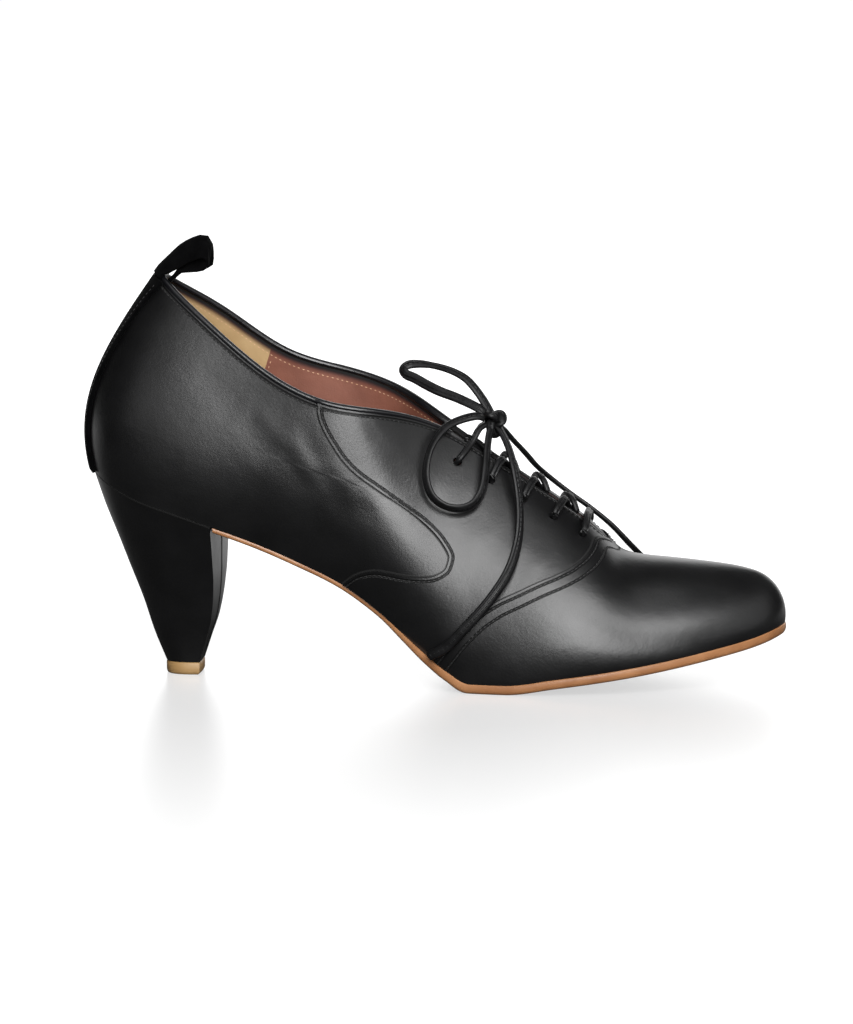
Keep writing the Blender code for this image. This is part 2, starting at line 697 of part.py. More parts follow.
def make_tongue():
    """A strip under both facings and across the slit between them."""
    bridge = 0.25        # share of the half width that spans the slit
    outside = []
    inside = []
    for rib in np.linspace(TONGUE_START, TONGUE_END, 13):
        top_depth = float(wall_inside(rib)) + TONGUE_GAP
        for depth, rows in ((top_depth, outside), (top_depth + TONGUE_THICKNESS, inside)):
            edges = {side: skin(mirrored(rib, side), 1.0, -depth) for side in (OUTER, INNER)}
            row = []
            for share in np.linspace(-1, 1, 9):
                side = OUTER if share < 0 else INNER
                height = 1 - TONGUE_REACH * (abs(share) - bridge) / (1 - bridge)
                if abs(share) < bridge:
                    row.append((edges[OUTER] + edges[INNER]) / 2)
                else:
                    row.append(skin(mirrored(rib, side), height, -depth))
            rows.append(row)
    bm = shell_from_grids(np.array(outside), np.array(inside))
    return new_object("tongue", to_mesh(bm, "tongue"), LEATHER, 0.45)


def make_collar_binding():
    """The rolled strip that closes the collar's edge, from facing to facing."""
    half = [ribs[-1] for ribs, _ in upper_columns(OUTER)[:QUARTER_COLUMNS + 2 + BOUND_FRONT_COLUMNS]]
    half = np.unique(half)
    ribs = np.concatenate([half[::-1], -half[1:]])
    top = last_point(ribs, 1.0)
    normal = last_normal(ribs, 1.0)
    lean = np.cross(normal, last_point(ribs + STEP, 1.0) - last_point(ribs - STEP, 1.0))
    lean /= np.linalg.norm(lean, axis=1, keepdims=True)
    middle = top - normal * (UPPER_WALL / 2) + lean * (CLEARANCE + BINDING_HEIGHT / 2)
    sides = 8
    rings = []
    for centre, up, out in zip(middle, lean, normal):
        ring = []
        for i in range(sides):
            angle = 2 * math.pi * (i + 0.5) / sides
            ring.append(
                centre
                + out * (BINDING_WIDTH / 2 * math.cos(angle) / math.cos(math.pi / sides))
                + up * (BINDING_HEIGHT / 2 * math.sin(angle) / math.cos(math.pi / sides))
            )
        rings.append(ring)
    mesh = to_mesh(rings_to_solid(rings), "collar_binding")
    return new_object("collar_binding", mesh, LEATHER, 0.25)


def across_back(height, reach):
    """The rib, near the heel's middle, that lies a distance to the side of it."""
    ribs = np.linspace(-2, 2, 161)
    return np.interp(reach, last_point(ribs, height)[:, 1] * -1, ribs)


def make_back_strip():
    """Suede strip over the back seam, from the heel to the collar."""
    heights = np.linspace(0.0, 1.0, 13)
    shares = np.linspace(-1, 1, 7)
    outside = []
    inside = []
    for height in heights:
        half_width = STRIP_HALF_WIDTH + (STRIP_TOP_HALF_WIDTH - STRIP_HALF_WIDTH) * height
        places = across_back(height, shares * half_width)
        outside.append(skin(places, np.full(len(places), height), np.full(len(places), CLEARANCE + STRIP_THICKNESS)))
        inside.append(skin(places, np.full(len(places), height), np.full(len(places), CLEARANCE)))
    bm = shell_from_grids(np.array(outside), np.array(inside))
    return new_object("back_strip", to_mesh(bm, "back_strip"), SUEDE, 0.95)


def smooth_route(points, count):
    """A smooth curve through hand-chosen points, read at even distances."""
    points = np.array(points, float)
    gaps = np.linalg.norm(np.diff(points, axis=0), axis=1) ** 0.5
    knots = np.concatenate([[0], np.cumsum(gaps)])
    padded = np.concatenate([[2 * points[0] - points[1]], points, [2 * points[-1] - points[-2]]])
    times = np.concatenate([[-gaps[0]], knots, [knots[-1] + gaps[-1]]])
    fine = []
    for t in np.linspace(0, knots[-1], 40 * len(points)):
        i = int(np.clip(np.searchsorted(knots, t, side="right") - 1, 0, len(points) - 2))
        p = padded[i:i + 4]
        k = times[i:i + 4]
        a = [p[j] + (p[j + 1] - p[j]) * (t - k[j]) / (k[j + 1] - k[j]) for j in range(3)]
        b = [a[j] + (a[j + 1] - a[j]) * (t - k[j]) / (k[j + 2] - k[j]) for j in range(2)]
        fine.append(b[0] + (b[1] - b[0]) * (t - k[1]) / (k[2] - k[1]))
    fine = np.array(fine)
    lengths = np.concatenate([[0], np.cumsum(np.linalg.norm(np.diff(fine, axis=0), axis=1))])
    even = np.linspace(0, lengths[-1], count)
    return np.stack([np.interp(even, lengths, fine[:, axis]) for axis in range(3)], axis=1)


def tab_thread(share):
    """One line along the tab, at a share of its half width from the middle."""
    start_rib = across_back(1.0, share * TAB_HALF_WIDTH)
    end_height = 0.93
    end_rib = across_back(end_height, share * TAB_SEWN_HALF_WIDTH)
    collar = last_point(start_rib, 1.0)
    lean = collar - last_point(start_rib, POLE)
    lean /= np.linalg.norm(lean)
    start = skin(start_rib, 1.0, BINDING_WIDTH / 2 - UPPER_WALL / 2 + CLEARANCE + TAB_THICKNESS / 2)
    end = skin(end_rib, end_height, -(UPPER_WALL + CLEARANCE + TAB_THICKNESS / 2))
    middle = last_point(0.0, 1.0)
    free = []
    for point in TAB_ROUTE:
        side = -share * TAB_HALF_WIDTH * point.breadth
        fall = TAB_DROOP * share * share * point.droop
        free.append(middle + np.array([TAB_REACH * point.forward, side, TAB_REACH * point.up - fall]))
    over = start + lean * BINDING_HEIGHT
    return smooth_route([start + lean * CLEARANCE, over, *free, end], 22)


def make_pull_tab():
    """A suede loop that leaves the strip, turns over the collar and ends inside it."""
    threads = np.array([tab_thread(share) for share in np.linspace(-1, 1, 5)])
    along = np.gradient(threads, axis=1)
    across = np.gradient(threads, axis=0)
    face = np.cross(along, across)
    face /= np.linalg.norm(face, axis=2, keepdims=True)
    bm = shell_from_grids(threads + face * TAB_THICKNESS / 2, threads - face * TAB_THICKNESS / 2)
    return new_object("pull_tab", to_mesh(bm, "pull_tab"), SUEDE, 0.95)


def tube_rings(line, radius):
    """Rings of points around a line, turned along it without twist."""
    line = np.array(line)
    ahead = np.gradient(line, axis=0)
    ahead /= np.linalg.norm(ahead, axis=1, keepdims=True)
    side = np.cross(ahead[0], (0.0, 0.0, 1.0))
    rings = []
    for centre, direction in zip(line, ahead):
        side = side - direction * (side @ direction)
        side /= np.linalg.norm(side)
        up = np.cross(side, direction)
        turns = 2 * math.pi * (np.arange(TUBE_SIDES) + 0.5) / TUBE_SIDES
        rings.append([centre + radius * (math.cos(t) * side + math.sin(t) * up) for t in turns])
    return rings


def lace_tube(name, route, count):
    mesh = to_mesh(rings_to_solid(tube_rings(smooth_route(route, count), CROSSING_DIAMETER / 2)), name)
    return new_object(name, mesh, LACE, 0.6)


def slit_point(rib, across, rise):
    """A place in the throat: across from -1 at the outer facing to 1 at the inner."""
    edges = [skin(mirrored(rib, side), 1.0, 0.0) for side in (OUTER, INNER)]
    up = last_normal(rib, 1.0) + last_normal(mirrored(rib, INNER), 1.0)
    up /= np.linalg.norm(up)
    return (edges[0] * (1 - across) + edges[1] * (1 + across)) / 2 + rise * up


def over_facing():
    """How far a strand's middle lies out from the quarter when it lies on a facing."""
    return LAP + 1.5 * CLEARANCE + CROSSING_DIAMETER / 2


def at_hole(eyelet, side):
    return skin(mirrored(eyelet.rib, side), eyelet.height, over_facing())


def over_edge(rib, side, spare=0.0):
    return skin(mirrored(rib, side), 1.0, over_facing() + spare)


def between(eyelets, share):
    return eyelets[0].rib + (eyelets[1].rib - eyelets[0].rib) * share


def on_tongue(rib):
    """Rise above the throat's edges of a strand's middle when it lies on the tongue."""
    normals = last_normal(rib, 1.0) + last_normal(mirrored(rib, INNER), 1.0)
    depth = (float(wall_inside(rib)) + TONGUE_GAP) * np.linalg.norm(normals) / 2
    return CROSSING_DIAMETER / 2 + 2 * CLEARANCE - depth


def low_in_slit(rib, side):
    """The last place of a strand that dives under a facing, clear of its edge."""
    inner_edge = skin(rib, 1.0, -wall_inside(rib)) - skin(mirrored(rib, INNER), 1.0, -wall_inside(rib))
    whole_edge = last_point(rib, 1.0) - last_point(mirrored(rib, INNER), 1.0)
    room = np.linalg.norm(inner_edge) / 2 - CROSSING_DIAMETER / 2 - 2 * CLEARANCE
    return slit_point(rib, side * room / (np.linalg.norm(whole_edge) / 2), on_tongue(rib))


def joined(first, second):
    """Makes one solid of two that cross."""
    second.hide_render = True
    second.display_type = "WIRE"
    union = first.modifiers.new("join", "BOOLEAN")
    union.operation = "UNION"
    union.solver = "EXACT"
    union.object = second


def make_crossing(number):
    """Two strands of lace from one pair of eyelets to the next, crossed in the throat."""
    pair = EYELETS[number - 1:number + 1]
    strands = []
    for side in (OUTER, INNER):
        if number == 1:
            route = [
                low_in_slit(between(pair, 0.1), side),
                slit_point(between(pair, 0.5), 0.0, on_tongue(between(pair, 0.5))),
                low_in_slit(between(pair, 0.9), -side),
            ]
        else:
            route = [
                at_hole(pair[0], side),
                over_edge(between(pair, 0.2), side, CLEARANCE),
                slit_point(between(pair, 0.45), 0.0, on_tongue(between(pair, 0.45)) + CROSSING_DIAMETER / 4),
                low_in_slit(between(pair, 0.75), -side),
            ]
        name = f"lace_cross_{number}" if side == OUTER else f"lace_cross_{number}_other"
        strands.append(lace_tube(name, route, 8))
    joined(*strands)


def make_bar():
    """The lowest bar of lace, across the throat's base from hole to hole."""
    eyelet = EYELETS[-1]
    route = [
        at_hole(eyelet, OUTER),
        over_edge(eyelet.rib, OUTER),
        slit_point(eyelet.rib, 0.0, over_facing()),
        over_edge(eyelet.rib, INNER),
        at_hole(eyelet, INNER),
    ]
    lace_tube("lace_bar", route, 11)


RISE_EDGE = 0.30         # of the way to the second eyelet, where it leaves the facing


def make_rise():
    """The two strands that rise from the top eyelets and meet under the knot."""
    eyelet = EYELETS[0]
    knot = np.array(KNOT_CENTRE)
    apex = knot + np.array([-1.0, 0.0, -0.2]) * (KNOT_RADII[0] + CROSSING_DIAMETER / 2 + CLEARANCE)
    edge = between(EYELETS, RISE_EDGE)
    bow = np.array([0.0, 0.0, CROSSING_DIAMETER])
    near, far = over_edge(edge, OUTER, CLEARANCE), over_edge(edge, INNER, CLEARANCE)
    route = [
        at_hole(eyelet, OUTER),
        near,
        (near + apex) / 2 + bow / 2,
        apex,
        (far + apex) / 2 + bow / 2,
        far,
        at_hole(eyelet, INNER),
    ]
    lace_tube("lace_rise", route, 15)


def make_knot():
    bm = bmesh.new()
    size = Matrix.Diagonal((*KNOT_RADII, 1.0))
    bmesh.ops.create_uvsphere(
        bm, u_segments=12, v_segments=8, radius=1, matrix=Matrix.Translation(KNOT_CENTRE) @ size
    )
    new_object("lace_knot", to_mesh(bm, "lace_knot"), LACE, 0.6)


def make_cord(name, route):
    """A free run of lace: a round tube along its route."""
    length = np.linalg.norm(np.diff(smooth_route(route, 200), axis=0), axis=1).sum()
    count = round(length / (LACE_POINT_SPACING * LACE_DIAMETER)) + 1
    fine = smooth_route(route, count)
    curve = bpy.data.curves.new(name, "CURVE")
    curve.dimensions = "3D"
    curve.bevel_depth = LACE_DIAMETER / 2
    curve.bevel_resolution = 2
    curve.use_fill_caps = True
    spline = curve.splines.new("POLY")
    spline.points.add(count - 1)
    for point, place in zip(spline.points, fine):
        point.co = (*place, 1.0)
    cord = bpy.data.objects.new(name, curve)
    bpy.context.scene.collection.objects.link(cord)
    material = bpy.data.materials.new(name)
    material.use_nodes = True
    shader = material.node_tree.nodes["Principled BSDF"]
    shader.inputs["Base Color"].default_value = (*LACE, 1.0)
    shader.inputs["Roughness"].default_value = 0.6
    curve.materials.append(material)


def main():
    for thing in list(bpy.data.objects):
        bpy.data.objects.remove(thing, do_unlink=True)
    make_outsole()
    make_heel()
    make_top_lift()
    make_insole()
    make_upper()
    make_tongue()
    make_collar_binding()
    make_back_strip()
    make_pull_tab()
    for number in range(1, len(EYELETS)):
        make_crossing(number)
    make_bar()
    make_rise()
    make_knot()
    for name, route in LACE_ROUTES.items():
        make_cord(name, route)


main()
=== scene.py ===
"""Looks of a right heeled lace-up oxford shoe in black calf leather.

Frame: metres, +X to the toe, +Y to the inner side, +Z up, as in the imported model.
Surfaces of the upper are read from the last: a rib's number runs round the shoe from
the heel (0) along the outer side to the toe (14) and back, and a height on a rib runs
from the feather line (0) to the top line (1).
"""

import math
from collections import namedtuple

import bmesh
import bpy
import numpy as np
from mathutils import Matrix, Vector


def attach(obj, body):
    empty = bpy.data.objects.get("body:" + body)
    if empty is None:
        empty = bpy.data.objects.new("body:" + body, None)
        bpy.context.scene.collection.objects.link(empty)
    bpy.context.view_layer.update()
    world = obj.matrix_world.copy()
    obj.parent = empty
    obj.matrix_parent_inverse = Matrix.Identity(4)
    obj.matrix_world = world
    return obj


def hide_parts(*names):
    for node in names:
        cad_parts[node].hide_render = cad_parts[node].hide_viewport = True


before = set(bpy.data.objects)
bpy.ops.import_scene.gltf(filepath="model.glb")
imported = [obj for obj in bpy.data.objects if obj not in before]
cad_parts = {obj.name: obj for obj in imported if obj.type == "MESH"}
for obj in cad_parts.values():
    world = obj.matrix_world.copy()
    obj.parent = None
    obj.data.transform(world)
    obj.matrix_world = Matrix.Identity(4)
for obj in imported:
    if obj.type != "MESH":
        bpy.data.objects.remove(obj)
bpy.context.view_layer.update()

# The camera stands on the shoe's outer side, a little toward the toe and a little above,
# far enough away for the flat perspective of a catalogue picture.
TARGET = Vector((0.0865, 0.0, 0.0585))
CAMERA_TURN = math.radians(6)
CAMERA_RISE = math.radians(8)
CAMERA_DISTANCE = 1.6
PICTURE_WIDTH = 853
PIXELS_PER_METRE = 2840
SENSOR_WIDTH = 36.0


def placed(name, data):
    """Puts a mesh, light or camera into the scene as an object."""
    item = bpy.data.objects.new(name, data)
    bpy.context.scene.collection.objects.link(item)
    return item


camera_data = bpy.data.cameras.new("camera")
camera_data.sensor_fit = "HORIZONTAL"
camera_data.sensor_width = SENSOR_WIDTH
camera_data.lens = SENSOR_WIDTH * CAMERA_DISTANCE * PIXELS_PER_METRE / PICTURE_WIDTH
camera = placed("camera", camera_data)
toward_camera = Vector((
    math.sin(CAMERA_TURN) * math.cos(CAMERA_RISE),
    -math.cos(CAMERA_TURN) * math.cos(CAMERA_RISE),
    math.sin(CAMERA_RISE),
))
camera.location = TARGET + CAMERA_DISTANCE * toward_camera
camera.rotation_euler = toward_camera.to_track_quat("Z", "Y").to_euler()
bpy.context.scene.camera = camera


# The tied lace: one length of black leather, folded over and stitched along its middle,
# about twice as wide as it is thick. Two loops and two ends leave the bow's knot.
# The free lace's routes, in metres. Each end leaves the knot, as both loops do.
KNOT_CENTRE = (0.1107, -0.0010, 0.0908)
LACE_ROUTES = {
    "lace_loop_upper": [
        (0.1087, 0.0008, 0.0942), (0.1060, 0.0029, 0.0984), (0.1027, 0.0046, 0.1025),
        (0.0997, 0.0062, 0.1052), (0.0957, 0.0080, 0.1072), (0.0912, 0.0100, 0.1085),
        (0.0865, 0.0115, 0.1093), (0.0822, 0.0120, 0.1096), (0.0787, 0.0119, 0.1092),
        (0.0770, 0.0110, 0.1078), (0.0781, 0.0098, 0.1062), (0.0812, 0.0085, 0.1050),
        (0.0864, 0.0060, 0.1026), (0.0909, 0.0040, 0.1008), (0.0964, 0.0020, 0.0991),
        (0.1017, 0.0000, 0.0971), (0.1055, -0.0012, 0.0953),
    ],
    "lace_loop_lower": [
        (0.1053, -0.0056, 0.0934), (0.0997, -0.0086, 0.0925), (0.0944, -0.0125, 0.0900),
        (0.0906, -0.0172, 0.0850), (0.0888, -0.0212, 0.0790), (0.0889, -0.0240, 0.0730),
        (0.0912, -0.0255, 0.0676), (0.0957, -0.0257, 0.0643), (0.1009, -0.0247, 0.0634),
        (0.1052, -0.0226, 0.0648), (0.1080, -0.0192, 0.0692), (0.1088, -0.0146, 0.0757),
        (0.1088, -0.0096, 0.0821), (0.1092, -0.0046, 0.0875),
    ],
    "lace_end_near": [
        (0.1130, -0.0035, 0.0879), (0.1158, -0.0078, 0.0836), (0.1181, -0.0122, 0.0780),
        (0.1196, -0.0152, 0.0722), (0.1207, -0.0180, 0.0660), (0.1213, -0.0217, 0.0590),
        (0.1208, -0.0263, 0.0512), (0.1182, -0.0314, 0.0426), (0.1122, -0.0354, 0.0332),
        (0.1046, -0.0370, 0.0244), (0.0966, -0.0362, 0.0162), (0.0905, -0.0338, 0.0128),
    ],
    "lace_end_far": [
        (0.1131, 0.0019, 0.0885), (0.1162, 0.0056, 0.0842), (0.1204, 0.0092, 0.0790),
        (0.1244, 0.0124, 0.0738), (0.1300, 0.0150, 0.0686), (0.1364, 0.0158, 0.0636),
        (0.1430, 0.0156, 0.0590), (0.1506, 0.0158, 0.0528), (0.1572, 0.0178, 0.0456),
        (0.1632, 0.0250, 0.0382), (0.1682, 0.0294, 0.0326), (0.1712, 0.0326, 0.0270),
        (0.1726, 0.0348, 0.0214),
    ],
}
LACE_HALF_WIDTH = 0.0018
LACE_HALF_THICKNESS = 0.0009
LACE_SIDES = 20
LACE_STEP = 0.0005       # along the lace, between rings
LACE_ROUNDNESS = 0.85    # power of its section across: 1 is a plain oval
GROOVE_DEPTH = 0.38      # of its thickness, along the fold's edge
GROOVE_PLACE = 0.25      # of its half width from the middle
GROOVE_WIDTH = 0.20      # of its half width
STITCH_PITCH = 0.0018
BLACK_HIDE = (0.0030, 0.0030, 0.0032)


def run_lengths(line):
    """The length of a line up to each of its points."""
    return np.concatenate([[0], np.cumsum(np.linalg.norm(np.diff(line, axis=0), axis=1))])


def read_at(at, places, rows):
    """The rows of a table, read between its places."""
    return np.stack([np.interp(at, places, column) for column in np.transpose(rows)], axis=-1)


def smooth_route(points, count):
    """A smooth curve through given points, read at even distances."""
    points = np.array(points, float)
    gaps = np.linalg.norm(np.diff(points, axis=0), axis=1) ** 0.5
    knots = np.concatenate([[0], np.cumsum(gaps)])
    padded = np.concatenate([[2 * points[0] - points[1]], points, [2 * points[-1] - points[-2]]])
    times = np.concatenate([[-gaps[0]], knots, [knots[-1] + gaps[-1]]])
    fine = []
    for t in np.linspace(0, knots[-1], 40 * len(points)):
        i = int(np.clip(np.searchsorted(knots, t, side="right") - 1, 0, len(points) - 2))
        p = padded[i:i + 4]
        k = times[i:i + 4]
        a = [p[j] + (p[j + 1] - p[j]) * (t - k[j]) / (k[j + 1] - k[j]) for j in range(3)]
        b = [a[j] + (a[j + 1] - a[j]) * (t - k[j]) / (k[j + 2] - k[j]) for j in range(2)]
        fine.append(b[0] + (b[1] - b[0]) * (t - k[1]) / (k[2] - k[1]))
    fine = np.array(fine)
    lengths = run_lengths(fine)
    return read_at(np.linspace(0, lengths[-1], count), lengths, fine)


def linked(tree, source, target):
    tree.links.new(source, target)


def new_material(name, roughness):
    material = bpy.data.materials.new(name)
    material.use_nodes = True
    tree = material.node_tree
    shader = tree.nodes["Principled BSDF"]
    shader.inputs["Roughness"].default_value = roughness
    return material, tree, shader


def noise(tree, vector, scale, detail=4.0):
    node = tree.nodes.new("ShaderNodeTexNoise")
    node.inputs["Scale"].default_value = scale
    node.inputs["Detail"].default_value = detail
    linked(tree, vector, node.inputs["Vector"])
    return node.outputs["Fac"]


def spread(tree, value, low, high, from_low=0.3, from_high=0.7):
    node = tree.nodes.new("ShaderNodeMapRange")
    node.inputs["From Min"].default_value = from_low
    node.inputs["From Max"].default_value = from_high
    node.inputs["To Min"].default_value = low
    node.inputs["To Max"].default_value = high
    linked(tree, value, node.inputs["Value"])
    return node.outputs["Result"]


def arithmetic(tree, operation, first, second=0.0):
    node = tree.nodes.new("ShaderNodeMath")
    node.operation = operation
    for socket, value in zip(node.inputs, (first, second)):
        if isinstance(value, (int, float)):
            socket.default_value = value
        else:
            linked(tree, value, socket)
    return node.outputs["Value"]


def toned(tree, value, dark, light):
    node = tree.nodes.new("ShaderNodeValToRGB")
    node.color_ramp.elements[0].position = 0.32
    node.color_ramp.elements[0].color = (*dark, 1)
    node.color_ramp.elements[1].position = 0.68
    node.color_ramp.elements[1].color = (*light, 1)
    linked(tree, value, node.inputs["Fac"])
    return node.outputs["Color"]


def bumped(tree, shader, height, distance, before=None):
    node = tree.nodes.new("ShaderNodeBump")
    node.inputs["Distance"].default_value = distance
    linked(tree, height, node.inputs["Height"])
    if before is not None:
        linked(tree, before, node.inputs["Normal"])
    linked(tree, node.outputs["Normal"], shader.inputs["Normal"])
    return node.outputs["Normal"]


NEAR = 0.008             # how far from a line a piece's marks reach
CHANNEL_DEPTH = 0.0006
# Stitch channels' grooves are darkened toward this colour: painted shade.
CHANNEL_PAINTED_SHADE = (0.0015, 0.0015, 0.0015)
CHANNEL_ROUGHNESS = 0.95


def line_mask(tree, mark, centre, half_width):
    """1 along a line at a distance from a marked edge, falling to 0 beside it."""
    node = tree.nodes.new("ShaderNodeAttribute")
    node.attribute_name = mark
    distance = arithmetic(tree, "SUBTRACT", NEAR, node.outputs["Fac"])
    away = arithmetic(tree, "ABSOLUTE", arithmetic(tree, "SUBTRACT", distance, centre))
    return spread(tree, away, 1.0, 0.0, half_width * 0.35, half_width)


# Mixes a colour toward a darker one along a mask: painted shade in stitch channels, beside lapped edges
# and under the collar, and the binding's own black on the linings.
def darkened_band(tree, color, mask, band_colour):
    node = tree.nodes.new("ShaderNodeMix")
    node.data_type = "RGBA"
    linked(tree, mask, node.inputs["Factor"])
    linked(tree, color, node.inputs["A"])
    node.inputs["B"].default_value = (*band_colour, 1)
    return node.outputs["Result"]


def hide(name, dark, light, roughness, grain=0.0007, depth=0.00002, coat=0.0, rows=(), shades=()):
    """Finished leather: fine pebbled grain, broad unevenness in gloss and tone. rows are
    stitch channels at distances from the piece's edge, their grooves darkened with painted
    shade; shades are bands of a darker colour along marked lines: painted shade beside
    lapped edges and under the collar, and the binding's own black on the linings."""
    material, tree, shader = new_material(name, roughness)
    place = tree.nodes.new("ShaderNodeTexCoord").outputs["Object"]
    broad = noise(tree, place, 38.0, 3.0)
    color = toned(tree, noise(tree, place, 90.0, 5.0), dark, light)
    channel = None
    # Each stitch channel's groove is darkened: painted shade, beside the real dent that the bump below
    # makes.
    for mark, centre, half_width in rows:
        mask = line_mask(tree, mark, centre, half_width)
        color = darkened_band(tree, color, mask, CHANNEL_PAINTED_SHADE)
        channel = mask if channel is None else arithmetic(tree, "MAXIMUM", channel, mask)
    matt = channel
    # Each band is darkened toward its colour: painted shade beside lapped edges and under the collar, and
    # the binding's own black on the linings.
    for mark, centre, half_width, tone in shades:
        mask = line_mask(tree, mark, centre, half_width)
        color = darkened_band(tree, color, mask, tone)
        matt = mask if matt is None else arithmetic(tree, "MAXIMUM", matt, mask)
    linked(tree, color, shader.inputs["Base Color"])
    gloss = spread(tree, broad, roughness - 0.05, roughness + 0.06)
    if matt is not None:
        rough = arithmetic(tree, "MULTIPLY", matt, CHANNEL_ROUGHNESS)
        gloss = arithmetic(tree, "MAXIMUM", gloss, rough)
    linked(tree, gloss, shader.inputs["Roughness"])
    shader.inputs["Coat Weight"].default_value = coat
    shader.inputs["Coat Roughness"].default_value = 0.22
    cells = tree.nodes.new("ShaderNodeTexVoronoi")
    cells.feature = "SMOOTH_F1"
    cells.inputs["Scale"].default_value = 1 / grain
    linked(tree, place, cells.inputs["Vector"])
    pores = arithmetic(tree, "ADD", cells.outputs["Distance"], noise(tree, place, 0.6 / grain, 3.0))
    first = bumped(tree, shader, noise(tree, place, 260.0, 3.0), depth * 3.5)
    second = bumped(tree, shader, pores, depth, first)
    if channel is not None:
        bumped(tree, shader, arithmetic(tree, "MULTIPLY", channel, -1.0), CHANNEL_DEPTH, second)
    return material


def grid_bmesh(points):
    """A sheet through rows and columns of points."""
    rows, columns = points.shape[:2]
    bm = bmesh.new()
    bmesh.ops.create_grid(bm, x_segments=columns - 1, y_segments=rows - 1, size=1)
    bm.verts.ensure_lookup_table()
    for vert in bm.verts:
        vert.co = points[divmod(vert.index, columns)]
    return bm


def meshed(bm, name):
    """Turns a bmesh into a mesh and frees it."""
    mesh = bpy.data.meshes.new(name)
    bm.to_mesh(mesh)
    bm.free()
    return mesh


def to_piece(bm, name, material, nodes=(), sharp=40.0):
    """Makes the finished mesh a piece that rides with the shoe."""
    bmesh.ops.remove_doubles(bm, verts=bm.verts, dist=1e-6)
    bmesh.ops.dissolve_degenerate(bm, edges=bm.edges, dist=1e-7)
    bmesh.ops.recalc_face_normals(bm, faces=bm.faces)
    mesh = meshed(bm, name)
    mesh.shade_smooth()
    mesh.set_sharp_from_angle(angle=math.radians(sharp))
    mesh.materials.append(material)
    piece = placed(name, mesh)
    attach(piece, "root")
    if nodes:
        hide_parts(*nodes)
    return piece


def unit(vectors):
    return vectors / np.linalg.norm(vectors, axis=-1, keepdims=True)


def strap_bmesh(line, faces, half_width, half_thickness):
    """A folded strap along a line. faces gives the way its broad side looks, by share."""
    line = np.asarray(line, float)
    ahead = unit(np.gradient(line, axis=0))
    shares = np.linspace(0, 1, len(line))
    face = read_at(shares, [share for share, _ in faces], [way for _, way in faces])
    face = unit(face - ahead * (face * ahead).sum(axis=1, keepdims=True))
    side = np.cross(ahead, face)
    around = np.linspace(0, 2 * math.pi, LACE_SIDES + 1)
    across = np.sign(np.cos(around)) * np.abs(np.cos(around)) ** LACE_ROUNDNESS
    groove = np.exp(-((np.cos(around) - GROOVE_PLACE) / GROOVE_WIDTH) ** 2)
    thick = np.sin(around) * (1 - GROOVE_DEPTH * groove)
    lengths = run_lengths(line)
    from_end = np.minimum(lengths, lengths[-1] - lengths)
    taper = np.sqrt(np.clip(1 - (1 - np.clip(from_end / half_thickness, 0, 1)) ** 2, 0.06, 1))
    wide = half_width * taper[:, None, None] * across[None, :, None] * side[:, None, :]
    deep = half_thickness * taper[:, None, None] * thick[None, :, None] * face[:, None, :]
    points = line[:, None, :] + wide + deep
    bm = grid_bmesh(points)
    columns = points.shape[1]
    uv = bm.loops.layers.uv.new("lace")
    for poly in bm.faces:
        for loop in poly.loops:
            row, column = divmod(loop.vert.index, columns)
            loop[uv].uv = (lengths[row] / STITCH_PITCH, column / (columns - 1))
    bmesh.ops.remove_doubles(bm, verts=bm.verts, dist=1e-7)
    bmesh.ops.holes_fill(bm, edges=bm.edges, sides=0)
    return bm


def strap_line(route):
    length = np.linalg.norm(np.diff(smooth_route(route, 400), axis=0), axis=1).sum()
    return smooth_route(route, round(length / LACE_STEP) + 1)


def lace_material():
    """Black leather lace: a stitch row sunk in the middle of each broad side."""
    material, tree, shader = new_material("lace_leather", 0.42)
    shader.inputs["Coat Weight"].default_value = 0.03
    shader.inputs["Specular IOR Level"].default_value = 0.28
    shader.inputs["Coat Roughness"].default_value = 0.3
    along = tree.nodes.new("ShaderNodeUVMap")
    along.uv_map = "lace"
    parts = tree.nodes.new("ShaderNodeSeparateXYZ")
    linked(tree, along.outputs["UV"], parts.inputs["Vector"])
    place = tree.nodes.new("ShaderNodeTexCoord").outputs["Object"]
    tone = toned(tree, noise(tree, place, 300.0), BLACK_HIDE, (0.0065, 0.0065, 0.0070))
    linked(tree, tone, shader.inputs["Base Color"])
    linked(tree, spread(tree, noise(tree, place, 150.0), 0.36, 0.52), shader.inputs["Roughness"])
    dash = arithmetic(tree, "PINGPONG", parts.outputs["X"], 0.5)
    dash = spread(tree, dash, 0.0, 1.0, 0.10, 0.16)
    twice = arithmetic(tree, "FRACT", arithmetic(tree, "MULTIPLY", parts.outputs["Y"], 2.0))
    off_centre = arithmetic(tree, "ABSOLUTE", arithmetic(tree, "SUBTRACT", twice, 0.5))
    centre = spread(tree, off_centre, 1.0, 0.0, 0.02, 0.06)
    first = bumped(tree, shader, noise(tree, place, 1500.0), 0.00004)
    bumped(tree, shader, arithmetic(tree, "MULTIPLY", dash, centre), 0.00016, first)
    return material


